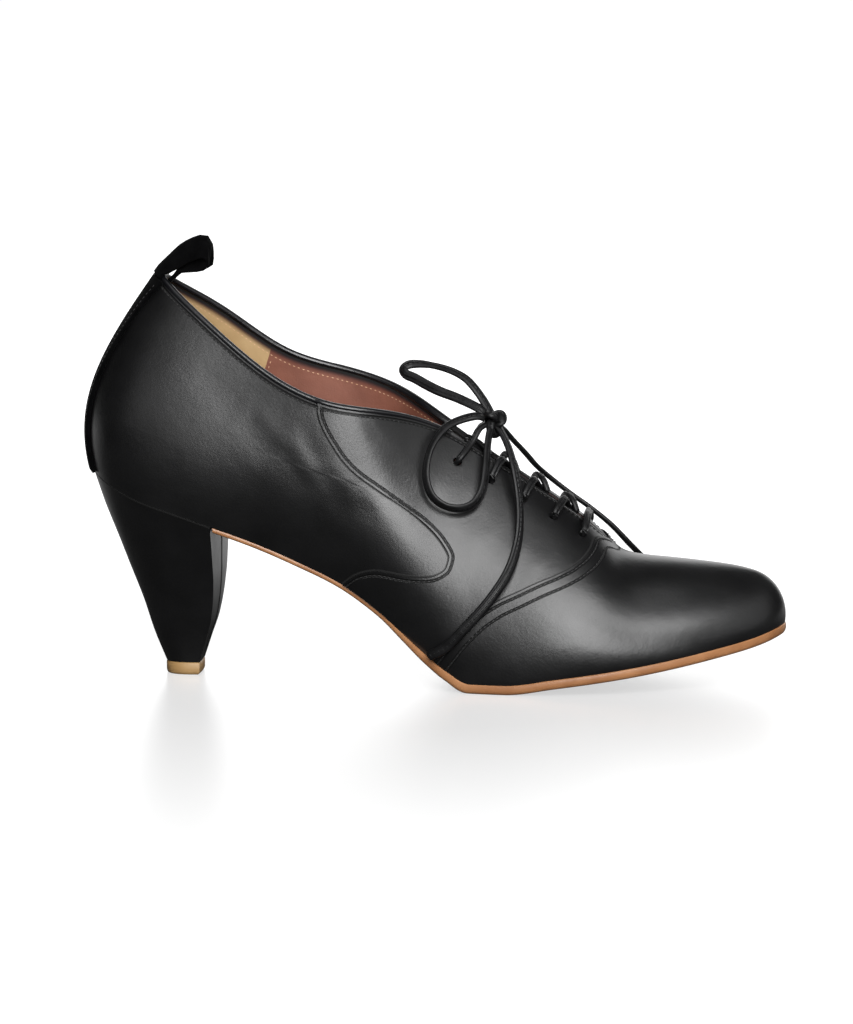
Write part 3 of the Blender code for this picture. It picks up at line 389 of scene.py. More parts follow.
LACE_FINISH = lace_material()
UPWARD = (0.0, 0.0, 1.0)
LACE_FACES = {
    "lace_loop_upper": [
        (0, (0.3, -0.5, 0.8)), (0.4, (0.1, -0.35, 0.9)), (0.55, (-0.6, -0.8, 0.2)), (1, (0.2, -0.7, 0.7)),
    ],
    "lace_loop_lower": [
        (0, (0.2, -0.6, 0.8)), (0.3, (-0.75, -0.6, 0.3)), (0.55, (-0.2, -0.75, -0.65)),
        (0.8, (0.75, -0.65, 0.0)), (1, (0.9, -0.4, 0.1)),
    ],
    "lace_end_near": [
        (0, (0.75, -0.5, 0.4)), (0.35, (0.85, -0.55, 0.1)),
        (0.6, (0.35, -0.9, 0.1)), (1, (0.15, -0.95, 0.2)),
    ],
    "lace_end_far": [(0, (0.5, 0.2, 0.8)), (0.5, (0.4, 0.3, 0.85)), (1, (0.6, 0.5, 0.5))],
}
KNOT_ROOM = (0.0031, 0.0038, 0.0042)     # half sizes of the knot's middle line
KNOT_HALF_WIDTH = 0.00155
KNOT_HALF_THICKNESS = 0.00105
KNOT_FACES = [(0, UPWARD), (0.5, (0.3, -1, 0.3)), (1, UPWARD)]
END_INTO_KNOT = 0.7      # of the way to the knot's middle
LOOP_INTO_KNOT = 0.35    # a loop's two ends stay apart


def knot_line():
    """A tight overhand turn: a three-lobed knot, squeezed to the knot's own size."""
    turn = np.linspace(0, 2 * math.pi, 181)
    flat = np.stack([
        (np.sin(turn) + 2 * np.sin(2 * turn)) / 3,
        -np.sin(3 * turn) * 0.55,
        (np.cos(turn) - 2 * np.cos(2 * turn)) / 3,
    ], axis=1)
    return np.array(KNOT_CENTRE) + flat * np.array(KNOT_ROOM)


knot_bm = strap_bmesh(knot_line(), KNOT_FACES, KNOT_HALF_WIDTH, KNOT_HALF_THICKNESS)
knot = to_piece(knot_bm, "bow_knot", LACE_FINISH, ["lace_knot"])


def into_knot(point, share):
    """A place a share of the way from a cord's end to the knot's middle."""
    return tuple(np.array(point) + share * (np.array(KNOT_CENTRE) - np.array(point)))


for node, route in LACE_ROUTES.items():
    _, form, place = node.split("_")
    share = END_INTO_KNOT if "end" in node else LOOP_INTO_KNOT
    last = [] if "end" in node else [into_knot(route[-1], share)]
    line = strap_line([into_knot(route[0], share), *route, *last])
    bm = strap_bmesh(line, LACE_FACES[node], LACE_HALF_WIDTH, LACE_HALF_THICKNESS)
    cord = to_piece(bm, f"lace_{place}_{form}", LACE_FINISH, [node])


# The last, over which the upper is pulled: the loop of ribs and the bottom line that
# every piece of the shoe is read from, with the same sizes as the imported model's.
LENGTH = 0.2428          # back of the seat to the tip of the feather line
BALL_WIDTH = 0.071       # feather line across the ball
INSTEP = 0.075           # top line above the feather line at the throat
SEAT_HEIGHT = 0.0735     # floor to the feather line at the back of the seat
TOE_SPRING = 0.017       # rise of the sole from the tread to the toe
HEEL_PITCH = 0.0318      # back of the seat to the middle of the heel's tip
UPPER_WALL = 0.0018      # quarter leather with its lining
LAP = 0.0008             # step where one panel lies over the next
SOLE_THICKNESS = 0.0033
INSOLE_THICKNESS = 0.0020
CLEARANCE = 0.0003       # between pieces that touch
EYELET_RADIUS = 0.0015
OUTER = -1
INNER = 1
TREAD_START = 0.563
TREAD_END = 0.613
Tread = namedtuple("Tread", "along seat spring")
BOTTOM = [
    Tread(0.000, 1.000, 0.0),
    Tread(0.032, 0.943, 0.0),
    Tread(0.077, 0.873, 0.0),
    Tread(0.131, 0.811, 0.0),
    Tread(0.189, 0.739, 0.0),
    Tread(0.250, 0.660, 0.0),
    Tread(0.312, 0.566, 0.0),
    Tread(0.372, 0.466, 0.0),
    Tread(0.432, 0.326, 0.0),
    Tread(0.469, 0.218, 0.0),
    Tread(0.502, 0.124, 0.0),
    Tread(0.530, 0.056, 0.0),
    Tread(TREAD_START, 0.0, 0.0),
    Tread(TREAD_END, 0.0, 0.0),
    Tread(0.683, 0.0, 0.135),
    Tread(0.790, 0.0, 0.359),
    Tread(0.897, 0.0, 0.647),
    Tread(0.971, 0.0, 0.876),
    Tread(1.000, 0.0, 1.000),
    Tread(1.021, 0.0, 1.094),
]

# One row for each rib. foot and top are places along the shoe, as shares of
# LENGTH; outer and inner are the feather line's half breadths, top_outer and
# top_inner the top line's, swell and crown how far the rib's lower and upper
# handles stand out, and swing the centre line's turn to the inner side, all as
# shares of BALL_WIDTH; rise is the top line above the feather line, as a share
# of INSTEP; low and high are the handles' places along the rib; turn is the
# direction in which the rib faces, in degrees; wall is the share of UPPER_WALL
# that lies inside the quarter's own surface.
Section = namedtuple(
    "Section",
    "name foot outer inner top top_outer top_inner rise_outer rise_inner "
    "swell_outer swell_inner crown low high turn swing wall",
)
SECTIONS = [
    Section("back", 0.000, 0.000, 0.000, 0.097, 0.000, 0.000, 0.907, 0.907,
            0.194, 0.194, 0.138, 0.35, 0.40, -90, 0.000, 1.00),
    Section("heel corner", 0.033, 0.254, 0.254, 0.120, 0.134, 0.134, 0.899, 0.903,
            0.190, 0.190, 0.127, 0.35, 0.40, -52, 0.000, 1.00),
    Section("heel side", 0.106, 0.359, 0.352, 0.185, 0.246, 0.246, 0.820, 0.861,
            0.120, 0.120, 0.077, 0.35, 0.40, -12, 0.000, 1.00),
    Section("breast", 0.193, 0.345, 0.324, 0.267, 0.324, 0.324, 0.715, 0.772,
            0.106, 0.113, 0.056, 0.35, 0.38, -4, 0.000, 1.00),
    Section("waist back", 0.287, 0.310, 0.261, 0.353, 0.359, 0.359, 0.707, 0.799,
            0.110, 0.120, 0.062, 0.35, 0.36, 0, 0.000, 1.00),
    Section("waist", 0.386, 0.317, 0.211, 0.436, 0.289, 0.289, 0.816, 0.876,
            0.144, 0.169, 0.094, 0.34, 0.35, 0, 0.000, 0.94),
    Section("throat", 0.485, 0.394, 0.303, 0.510, 0.106, 0.106, 0.976, 1.003,
            0.211, 0.231, 0.159, 0.33, 0.35, 0, 0.000, 0.83),
    Section("ball back", 0.576, 0.472, 0.437, 0.592, 0.077, 0.077, 0.983, 0.985,
            0.197, 0.197, 0.155, 0.33, 0.30, 0, 0.000, 0.72),
    Section("ball", 0.666, 0.493, 0.507, 0.671, 0.063, 0.063, 0.796, 0.796,
            0.204, 0.190, 0.183, 0.33, 0.22, 0, 0.000, 0.56),
    Section("throat base", 0.745, 0.479, 0.514, 0.736, 0.042, 0.042, 0.599, 0.599,
            0.197, 0.197, 0.225, 0.33, 0.10, 0, 0.007, 0.44),
    Section("vamp", 0.811, 0.441, 0.468, 0.769, 0.000, 0.000, 0.455, 0.455,
            0.190, 0.204, 0.282, 0.33, 0.00, 4, 0.018, 0.28),
    Section("toe back", 0.872, 0.382, 0.388, 0.831, 0.000, 0.000, 0.385, 0.385,
            0.162, 0.169, 0.239, 0.33, 0.00, 12, 0.031, 0.28),
    Section("toe side", 0.930, 0.290, 0.290, 0.889, 0.000, 0.000, 0.329, 0.329,
            0.131, 0.141, 0.183, 0.33, 0.02, 32, 0.044, 0.28),
    Section("toe corner", 0.975, 0.178, 0.176, 0.926, 0.000, 0.000, 0.279, 0.279,
            0.107, 0.113, 0.155, 0.33, 0.04, 62, 0.054, 0.28),
    Section("toe", 1.000, 0.000, 0.000, 0.942, 0.000, 0.000, 0.241, 0.241,
            0.086, 0.086, 0.169, 0.33, 0.03, 90, 0.056, 0.28),
]
TOE_RIB = len(SECTIONS) - 1
RIBS = 2 * TOE_RIB

# Where the front quarter's folded edge and the vamp's edge run: at each height,
# the rib that each crosses. The quarter's edge falls from the collar, bulges
# forward and returns to the sole; the vamp's edge falls from the throat's base.
Seam = namedtuple("Seam", "height quarter vamp")
SEAMS = [
    Seam(0.00, 4.90, 6.30),
    Seam(0.09, 5.04, 6.44),
    Seam(0.19, 5.30, 6.61),
    Seam(0.27, 5.68, 6.79),
    Seam(0.33, 5.97, 6.98),
    Seam(0.39, 6.22, 7.23),
    Seam(0.45, 6.37, 7.57),
    Seam(0.50, 6.40, 7.86),
    Seam(0.55, 6.24, 8.16),
    Seam(0.585, 5.92, 8.33),
    Seam(0.605, 5.28, 8.42),
    Seam(0.64, 4.84, 8.54),
    Seam(0.70, 4.54, 8.71),
    Seam(0.78, 4.30, 8.84),
    Seam(0.87, 4.07, 8.92),
    Seam(0.94, 3.94, 9.10),
    Seam(1.00, 3.88, 9.35),
]

Eyelet = namedtuple("Eyelet", "rib height")
EYELETS = [
    Eyelet(6.35, 0.905),
    Eyelet(6.92, 0.905),
    Eyelet(7.49, 0.895),
    Eyelet(8.05, 0.878),
    Eyelet(8.62, 0.858),
]


def monotone(places, values, at):
    """A smooth curve through the rows that never swings past them."""
    places = np.asarray(places, float)
    values = np.asarray(values, float)
    steps = np.diff(places)
    slopes = np.diff(values) / steps
    tangents = np.zeros(len(places))
    tangents[0] = slopes[0]
    tangents[-1] = slopes[-1]
    for i in range(1, len(places) - 1):
        if slopes[i - 1] * slopes[i] > 0:
            before = 2 * steps[i] + steps[i - 1]
            after = steps[i] + 2 * steps[i - 1]
            tangents[i] = (before + after) / (before / slopes[i - 1] + after / slopes[i])
    at = np.clip(at, places[0], places[-1])
    i = np.clip(np.searchsorted(places, at, side="right") - 1, 0, len(steps) - 1)
    t = (at - places[i]) / steps[i]
    return (
        (1 + 2 * t) * (1 - t) ** 2 * values[i]
        + t * (1 - t) ** 2 * steps[i] * tangents[i]
        + t * t * (3 - 2 * t) * values[i + 1]
        + t * t * (t - 1) * steps[i] * tangents[i + 1]
    )


def place_along(share):
    return share * LENGTH - HEEL_PITCH


def feather_height(x):
    """Height of the plane on which the upper stands, also the sole's top."""
    along = (np.asarray(x, float) + HEEL_PITCH) / LENGTH
    rows = [row.along for row in BOTTOM]
    seat = monotone(rows, [row.seat for row in BOTTOM], along)
    spring = monotone(rows, [row.spring for row in BOTTOM], along)
    return SOLE_THICKNESS + seat * (SEAT_HEIGHT - SOLE_THICKNESS) + spring * TOE_SPRING


def rib_row(section, side):
    """The four Bezier points of a section's rib, and its inner wall."""
    if side == OUTER:
        breadth, top_breadth = section.outer, section.top_outer
        rise, swell = section.rise_outer, section.swell_outer
    else:
        breadth, top_breadth = section.inner, section.top_inner
        rise, swell = section.rise_inner, section.swell_inner
    angle = math.radians(section.turn)
    facing = np.array([math.sin(angle), side * math.cos(angle), 0.0]) * BALL_WIDTH
    foot_x = place_along(section.foot)
    foot_z = float(feather_height(foot_x))
    foot = np.array([foot_x, (section.swing + side * breadth) * BALL_WIDTH, foot_z])
    top = np.array([
        place_along(section.top),
        (section.swing + side * top_breadth) * BALL_WIDTH,
        foot_z + rise * INSTEP,
    ])
    chord = top - foot
    lower = foot + section.low * chord + swell * facing
    upper = top - section.high * chord + section.crown * facing
    return np.concatenate([foot, lower, upper, top, [section.wall * UPPER_WALL]])


ROWS = np.array(
    [rib_row(section, OUTER) for section in SECTIONS]
    + [rib_row(section, INNER) for section in SECTIONS[-2:0:-1]]
)


def loop_bends(rows):
    """Second derivatives of the closed cubic spline through the rows."""
    count = len(rows)
    matrix = 4 * np.eye(count) + np.roll(np.eye(count), 1, 0) + np.roll(np.eye(count), -1, 0)
    return np.linalg.solve(matrix, 6 * (np.roll(rows, 1, 0) - 2 * rows + np.roll(rows, -1, 0)))


BENDS = loop_bends(ROWS)


def rails(rib):
    """Bezier points and inner wall of the rib at any place around the loop."""
    rib = np.mod(np.asarray(rib, float), RIBS)
    i = np.floor(rib).astype(int) % RIBS
    j = (i + 1) % RIBS
    f = (rib - np.floor(rib))[..., None]
    g = 1 - f
    return g * ROWS[i] + f * ROWS[j] + (g**3 - g) * BENDS[i] / 6 + (f**3 - f) * BENDS[j] / 6


def last_point(rib, height):
    rib, height = np.broadcast_arrays(np.asarray(rib, float), np.asarray(height, float))
    row = rails(rib)
    foot = row[..., 0:3].copy()
    foot[..., 2] = feather_height(foot[..., 0]) + CLEARANCE
    v = height[..., None]
    w = 1 - v
    return (
        w**3 * foot + 3 * w * w * v * row[..., 3:6]
        + 3 * w * v * v * row[..., 6:9] + v**3 * row[..., 9:12]
    )


STEP = 1e-3              # of a rib, for directions on the last
POLE = 0.98              # highest place on a rib where its direction is read


def last_normal(rib, height):
    rib, height = np.broadcast_arrays(np.asarray(rib, float), np.asarray(height, float))
    v = np.clip(height, STEP, POLE)
    along = last_point(rib + STEP, v) - last_point(rib - STEP, v)
    up = last_point(rib, v + STEP) - last_point(rib, v - STEP)
    return unit(np.cross(along, up))


def skin(rib, height, out):
    """A point out from the quarter's surface; out is negative inside it."""
    return last_point(rib, height) + np.asarray(out, float)[..., None] * last_normal(rib, height)


def wall_inside(rib):
    return rails(rib)[..., 12]


def mirrored(rib, side):
    return rib if side == OUTER else RIBS - rib


QUARTER_SEAM = [seam.quarter for seam in SEAMS]
VAMP_SEAM = [seam.vamp for seam in SEAMS]
SEAM_HEIGHTS = [seam.height for seam in SEAMS]


def quarter_seam(height):
    """The rib at which the front quarter's folded edge crosses a height."""
    return monotone(SEAM_HEIGHTS, QUARTER_SEAM, height)


def vamp_seam(height):
    return monotone(SEAM_HEIGHTS, VAMP_SEAM, height)


# Creases, in metres: where each soft trough (depth above 0) or ridge (below 0)
# starts and ends, how wide it is, and on which side of the shoe it lies.
Crease = namedtuple("Crease", "side x z x_end z_end width depth")
CREASES = [
    Crease(OUTER, 0.0450, 0.0935, 0.0535, 0.0765, 0.0040, 0.00019),
    Crease(OUTER, 0.0515, 0.0770, 0.0640, 0.0570, 0.0045, 0.00023),
    Crease(OUTER, 0.0610, 0.0720, 0.0730, 0.0560, 0.0035, 0.00016),
    Crease(OUTER, 0.0345, 0.0915, 0.0490, 0.0660, 0.0050, 0.00024),
    Crease(OUTER, 0.0255, 0.0960, 0.0365, 0.0760, 0.0045, 0.00019),
    Crease(OUTER, 0.0400, 0.0900, 0.0530, 0.0690, 0.0030, -0.00014),
    Crease(OUTER, 0.0560, 0.0800, 0.0660, 0.0640, 0.0028, -0.00012),
    Crease(OUTER, 0.0300, 0.0980, 0.0420, 0.0820, 0.0028, -0.00010),
    Crease(OUTER, 0.0100, 0.1120, 0.0240, 0.0930, 0.0060, 0.00014),
    Crease(OUTER, 0.0660, 0.0960, 0.0745, 0.0840, 0.0022, 0.00015),
    Crease(OUTER, 0.0720, 0.0985, 0.0800, 0.0860, 0.0020, 0.00013),
    Crease(OUTER, 0.0790, 0.0930, 0.0840, 0.0800, 0.0026, 0.00015),
    Crease(OUTER, 0.0860, 0.0700, 0.0960, 0.0560, 0.0040, 0.00021),
    Crease(OUTER, 0.1000, 0.0680, 0.1080, 0.0540, 0.0045, 0.00018),
    Crease(OUTER, 0.1180, 0.0540, 0.1300, 0.0420, 0.0050, -0.00018),
    Crease(INNER, 0.0300, 0.0960, 0.0430, 0.0740, 0.0050, 0.00036),
    Crease(INNER, 0.0450, 0.0920, 0.0570, 0.0700, 0.0045, 0.00036),
    Crease(INNER, 0.0560, 0.0800, 0.0690, 0.0620, 0.0045, 0.00030),
    Crease(INNER, 0.0730, 0.0950, 0.0820, 0.0800, 0.0025, 0.00015),
    Crease(INNER, 0.0920, 0.0720, 0.1020, 0.0560, 0.0045, 0.00021),
    Crease(INNER, 0.1160, 0.0560, 0.1280, 0.0420, 0.0050, -0.00018),
]
CREASE_SWAY = 0.18       # share by which a crease's depth varies along it
CREASE_REACH = 0.42      # share of its length, from its middle, where it fades


def relief(points):
    """How far the creases move the leather out, at places on the last."""
    rise = np.zeros(points.shape[:-1])
    for crease in CREASES:
        start = np.array([crease.x, crease.z])
        run = np.array([crease.x_end, crease.z_end]) - start
        length = np.linalg.norm(run)
        offset = points[..., [0, 2]] - start
        along = (offset @ run) / length**2
        away = np.abs(offset[..., 0] * run[1] - offset[..., 1] * run[0]) / length
        sway = 1 + CREASE_SWAY * np.sin(9.0 * along + 40 * crease.x)
        fade = np.exp(-((along - 0.5) / CREASE_REACH) ** 4)
        side = points[..., 1] * crease.side > 0
        rise -= crease.depth * sway * fade * np.exp(-(away / crease.width) ** 2) * side
    return rise


def ease(x, start, end):
    t = np.clip((x - start) / (end - start), 0, 1)
    return t * t * (3 - 2 * t)


def shell_from_grids(outside, inside):
    """Closes two matching grids of points, rows by columns, into one solid."""
    rows, columns = outside.shape[:2]
    bm = bmesh.new()
    bmesh.ops.create_grid(bm, x_segments=columns - 1, y_segments=rows - 1, size=1)
    bm.verts.ensure_lookup_table()
    number = bm.verts.layers.int.new("number")
    for vert in bm.verts:
        vert[number] = vert.index
    sheet = list(bm.verts)
    grown = bmesh.ops.extrude_face_region(bm, geom=bm.faces[:], use_keep_orig=True)
    raised = [item for item in grown["geom"] if isinstance(item, bmesh.types.BMVert)]
    for vert in sheet:
        vert.co = inside[divmod(vert[number], columns)]
    for vert in raised:
        vert.co = outside[divmod(vert[number], columns)]
    return bm


# The upper: rear quarter in one piece round the heel, two front quarters folded at the
# edge and lapped over it, and the vamp lapped over those, all smooth black calf.
HEIGHTS = np.unique(np.concatenate([np.linspace(0, 1, 71), np.linspace(0.5, 0.68, 28)]).round(5))
FLOOR_GAP = 0.00005      # under the upper's lowest edge
SHEET_GAP = 0.0001       # between a lapped panel and the one beneath it
UNDERLAP = 0.30          # of a rib, that a panel runs on beneath the next
LINING_THICKNESS = 0.0006
EDGE_FOLD = 0.00036
EDGE_ROW = 0.0013        # from a folded edge to the row that holds it
SECOND_ROW = 0.0050      # to the vamp's second row
CHANNEL_HALF_WIDTH = 0.00058
TUCK = 0.0011            # the shaded strip beside a folded edge
# The colour of a painted shade strip on the panel beneath a lapped edge.
TUCK_PAINTED_SHADE = (0.0010, 0.0010, 0.0010)
CALF_DARK = (0.0022, 0.0022, 0.0024)
CALF_LIGHT = (0.0042, 0.0042, 0.0045)
one_row = [("edge", EDGE_ROW, CHANNEL_HALF_WIDTH)]
two_rows = [*one_row, ("edge", SECOND_ROW, CHANNEL_HALF_WIDTH)]
# Painted shade in a strip where a lapped panel's folded edge lies on this one.
beside = [("painted_shade_line", 0.0, TUCK, TUCK_PAINTED_SHADE)]
CALF = hide("black_calf", CALF_DARK, CALF_LIGHT, 0.35, coat=0.10, rows=one_row, shades=beside)
VAMP_CALF = hide("vamp_calf", CALF_DARK, CALF_LIGHT, 0.35, coat=0.10, rows=two_rows)


def mark(piece, name, lines):
    """Stores how near each point of a piece lies to some lines: NEAR on them, 0 far off."""
    places = np.concatenate(lines)
    points = np.array([vert.co for vert in piece.data.vertices])
    away = np.full(len(points), NEAR)
    for some in np.array_split(places, max(1, len(places) // 30)):
        away = np.minimum(away, np.linalg.norm(points[:, None] - some[None], axis=2).min(axis=1))
    attribute = piece.data.attributes.new(name, "FLOAT", "POINT")
    attribute.data.foreach_set("value", (NEAR - away).astype(np.float32))


def seam_line(seam, side, out):
    heights = np.linspace(0, 1, 420)
    ribs = mirrored(seam(heights), side)
    return skin(ribs, heights, out + relief(last_point(ribs, heights)))


def top_line(start, end, side, out):
    ribs = mirrored(np.linspace(start, end, 420), side)
    return skin(ribs, np.full(len(ribs), 1.0), np.full(len(ribs), out))


def on_sole(points):
    points[0, :, 2] = feather_height(points[0, :, 0]) + FLOOR_GAP
    return points


def panel_bmesh(ribs, heights, out, inner, ridge=None):
    """A panel of leather between two distances from the quarter's surface."""
    rise = relief(last_point(ribs, heights))
    outside = on_sole(skin(ribs, heights, out + rise))
    inside = on_sole(skin(ribs, heights, inner + rise))
    if ridge is not None:
        for grid in (outside, inside):
            middle = (grid[-1] + grid[-1, ::-1]) / 2
            grid[-1] = np.where(ridge[:, None], middle, grid[-1])
    bm = shell_from_grids(outside, inside)
    if ridge is not None:
        number = bm.verts.layers.int["number"]
        top = (len(outside) - 1) * outside.shape[1]
        closed = {top + i for i in np.flatnonzero(ridge)}
        rim = [face for face in bm.faces if {vert[number] for vert in face.verts} <= closed]
        bmesh.ops.delete(bm, geom=rim, context="FACES_ONLY")
    return bm


def folded(piece, width=EDGE_FOLD):
    """Rounds a panel's turned edges."""
    bevel = piece.modifiers.new("fold", "BEVEL")
    bevel.width = width
    bevel.segments = 2
    bevel.limit_method = "ANGLE"
    bevel.angle_limit = math.radians(50)
    bevel.harden_normals = False
    return piece


rows = HEIGHTS[:, None]
quarter_ribs = np.linspace(-1, 1, 271)[None, :] * (quarter_seam(rows) + UNDERLAP)
quarter_heights = np.broadcast_to(rows, quarter_ribs.shape)
bm = panel_bmesh(quarter_ribs, quarter_heights, 0.0, -(UPPER_WALL - LINING_THICKNESS - SHEET_GAP))
rear_quarter = to_piece(bm, "rear_quarter", CALF, ["upper"])
mark(rear_quarter, "edge", [top_line(0, QUARTER_SEAM[-1], side, 0.0) for side in (OUTER, INNER)])
# Painted shade along the line where the front quarters' folded edges lie on it.
mark(rear_quarter, "painted_shade_line", [seam_line(quarter_seam, side, 0.0) for side in (OUTER, INNER)])

punch_bm = bmesh.new()
for side in (OUTER, INNER):
    for eyelet in EYELETS:
        rib = mirrored(eyelet.rib, side)
        axis = Vector(last_normal(rib, eyelet.height)).to_track_quat("Z", "Y").to_matrix().to_4x4()
        bmesh.ops.create_cone(
            punch_bm, cap_ends=True, segments=20, radius1=EYELET_RADIUS, radius2=EYELET_RADIUS,
            depth=4 * UPPER_WALL, matrix=Matrix.Translation(last_point(rib, eyelet.height)) @ axis,
        )
punches = placed("eyelet_punches", meshed(punch_bm, "eyelet_punches"))


def punched(piece):
    """Cuts the eyelets, and keeps only the cut mesh."""
    cut = piece.modifiers.new("cut", "BOOLEAN")
    cut.operation = "DIFFERENCE"
    cut.solver = "EXACT"
    cut.object = punches
    bpy.context.view_layer.update()
    baked = bpy.data.meshes.new_from_object(piece.evaluated_get(bpy.context.evaluated_depsgraph_get()))
    piece.modifiers.clear()
    piece.data = baked
    return piece


def laid_under(ribs, seam, gap_out, free_out):
    """The inner surface of a lapped panel: on the panel beneath near its edge, then down."""
    share = ease(np.abs(ribs - seam), UNDERLAP, 2.2 * UNDERLAP)
    return gap_out + share * (free_out - gap_out)


for side, name in ((OUTER, "front_quarter_outer"), (INNER, "front_quarter_inner")):
    shares = np.linspace(0, 1, 111)[None, :]
    start = quarter_seam(rows)
    end = vamp_seam(rows) + UNDERLAP
    ribs = start + (end - start) * shares
    seam = np.broadcast_to(start, ribs.shape)
    turned = mirrored(ribs, side)
    inner = laid_under(ribs, seam, SHEET_GAP, -(wall_inside(turned) - LINING_THICKNESS - SHEET_GAP))
    bm = panel_bmesh(turned, np.broadcast_to(rows, ribs.shape), LAP, inner)
    piece = to_piece(bm, name, CALF, ["upper"])
    folded(punched(piece))
    facing = top_line(QUARTER_SEAM[-1], VAMP_SEAM[-1], side, LAP)
    mark(piece, "edge", [seam_line(quarter_seam, side, LAP), facing])
    # Painted shade along the line where the vamp's folded edge lies on it.
    mark(piece, "painted_shade_line", [seam_line(vamp_seam, side, LAP)])

shares = np.linspace(0, 1, 231)[None, :]
ribs = vamp_seam(rows) + (RIBS - 2 * vamp_seam(rows)) * shares
from_edge = np.minimum(ribs, RIBS - ribs)
inner = laid_under(
    from_edge, np.broadcast_to(vamp_seam(rows), ribs.shape), LAP + SHEET_GAP,
    -(wall_inside(ribs) - LINING_THICKNESS),
)
bm = panel_bmesh(ribs, np.broadcast_to(rows, ribs.shape), 2 * LAP, inner, np.full(ribs.shape[1], True))
vamp = folded(to_piece(bm, "vamp", VAMP_CALF, ["upper"]))
mark(vamp, "edge", [seam_line(vamp_seam, side, 2 * LAP) for side in (OUTER, INNER)])


# The linings: beige kid in the heel, pink kid in front of it, each glued to the leather
# and stitched under the binding; the two meet in an upright seam inside the quarter.
LINING_SEAM = 2.80       # rib
# Bands along the linings' top edge: the dark red one is painted shade under the collar, the black one is
# the binding's own black where it turns in.
binding_band_and_painted_shade = [
    ("edge", 0.0, 0.0032, (0.045, 0.006, 0.005)),
    ("edge", 0.0, 0.0022, (0.006, 0.006, 0.006)),
]
kid = {"grain": 0.0005, "depth": 0.00003, "shades": binding_band_and_painted_shade}
BEIGE_KID = hide("beige_kid", (0.40, 0.26, 0.12), (0.50, 0.34, 0.17), 0.55, **kid)
PINK_KID = hide("pink_kid", (0.17, 0.062, 0.040), (0.23, 0.088, 0.058), 0.50, **kid)


def lining_bmesh(ribs, ridge=None):
    heights = np.broadcast_to(rows, ribs.shape)
    inside = -wall_inside(ribs)
    return panel_bmesh(ribs, heights, inside + LINING_THICKNESS, inside, ridge)


ribs = np.broadcast_to(np.linspace(-LINING_SEAM, LINING_SEAM, 121)[None, :], (len(HEIGHTS), 121))
top_edges = [top_line(0, VAMP_SEAM[-1], side, -UPPER_WALL) for side in (OUTER, INNER)]
heel_lining = to_piece(lining_bmesh(ribs), "heel_lining", BEIGE_KID, ["upper"])
mark(heel_lining, "edge", top_edges)
ribs = np.broadcast_to(np.linspace(LINING_SEAM, RIBS - LINING_SEAM, 241)[None, :], (len(HEIGHTS), 241))
ridge = (ribs[0] >= VAMP_SEAM[-1]) & (ribs[0] <= RIBS - VAMP_SEAM[-1])
front_lining = to_piece(lining_bmesh(ribs, ridge), "front_lining", PINK_KID, ["upper"])
punched(front_lining)
mark(front_lining, "edge", top_edges)


# The collar's binding: a strip of glazed kid rolled over the edge, from facing to facing.
# It is thicker by the lap where it also holds the front quarters.
BINDING_WIDTH = 0.0026
BINDING_HEIGHT = 0.0022
BINDING_LIFT = 0.28      # of its height, its middle over the quarter's edge
BINDING_CROWN = 1.1      # its roundness over the edge
BINDING_END = 6.18       # rib at which it runs out on the facing
GLAZED_KID = hide("glazed_kid", (0.003, 0.003, 0.004), (0.006, 0.006, 0.007), 0.28, coat=0.12)

ribs = np.linspace(BINDING_END, -BINDING_END, 361)
top = last_point(ribs, 1.0)
normal = last_normal(ribs, 1.0)
lean = unit(np.cross(normal, last_point(ribs + STEP, 1.0) - last_point(ribs - STEP, 1.0)))
lift = LAP * ease(np.abs(ribs), QUARTER_SEAM[-1] - 0.1, QUARTER_SEAM[-1] + 0.1)
middle = top + normal * (lift / 2 - UPPER_WALL / 2)[:, None] + lean * BINDING_HEIGHT * BINDING_LIFT
around = np.linspace(0, 2 * math.pi, 17)
half = (BINDING_WIDTH + lift)[:, None, None] / 2
ring_out = half * np.cos(around)[None, :, None] * normal[:, None, :]
ring_up = BINDING_HEIGHT / 2 * BINDING_CROWN * np.sin(around)[None, :, None] * lean[:, None, :]
bm = grid_bmesh(middle[:, None, :] + ring_out + ring_up)
bmesh.ops.remove_doubles(bm, verts=bm.verts, dist=1e-7)
bmesh.ops.holes_fill(bm, edges=bm.edges, sides=0)
to_piece(bm, "rolled_binding", GLAZED_KID, ["collar_binding"])


# The back strip and pull tab: one length of black suede, sewn over the back seam, looped
# forward over the collar and caught inside it.
STRIP_THICKNESS = 0.0013
STRIP_TOP_HALF_WIDTH = 0.0075
STRIP_HALF_WIDTH = 0.0110
TAB_THICKNESS = 0.0014
TAB_HALF_WIDTH = 0.0062
TAB_SEWN_HALF_WIDTH = 0.0026
TAB_SEWN_HEIGHT = 0.93   # height on the rib where the tab is caught inside
TAB_REACH = 0.0185       # forward from the collar's back edge
TAB_DROOP = 0.0072       # fall of the worn loop's side edges below its middle
TabPoint = namedtuple("TabPoint", "forward up breadth droop")
TAB_ROUTE = [
    TabPoint(0.24, 0.37, 1.00, 0.80),
    TabPoint(0.45, 0.56, 1.00, 1.00),
    TabPoint(0.65, 0.67, 1.00, 1.00),
    TabPoint(0.83, 0.73, 1.00, 1.00),
    TabPoint(0.94, 0.71, 0.98, 0.95),
    TabPoint(1.00, 0.60, 0.95, 0.90),
    TabPoint(0.96, 0.46, 0.92, 0.80),
    TabPoint(0.83, 0.37, 0.86, 0.70),
    TabPoint(0.61, 0.27, 0.76, 0.50),
    TabPoint(0.43, 0.14, 0.62, 0.20),
    TabPoint(0.32, -0.02, 0.50, 0.00),
]


def across_back(height, reach):
    """The rib, near the heel's middle, that lies a distance to the side of it."""
    ribs = np.linspace(-2, 2, 161)
    return np.interp(reach, -last_point(ribs, height)[:, 1], ribs)


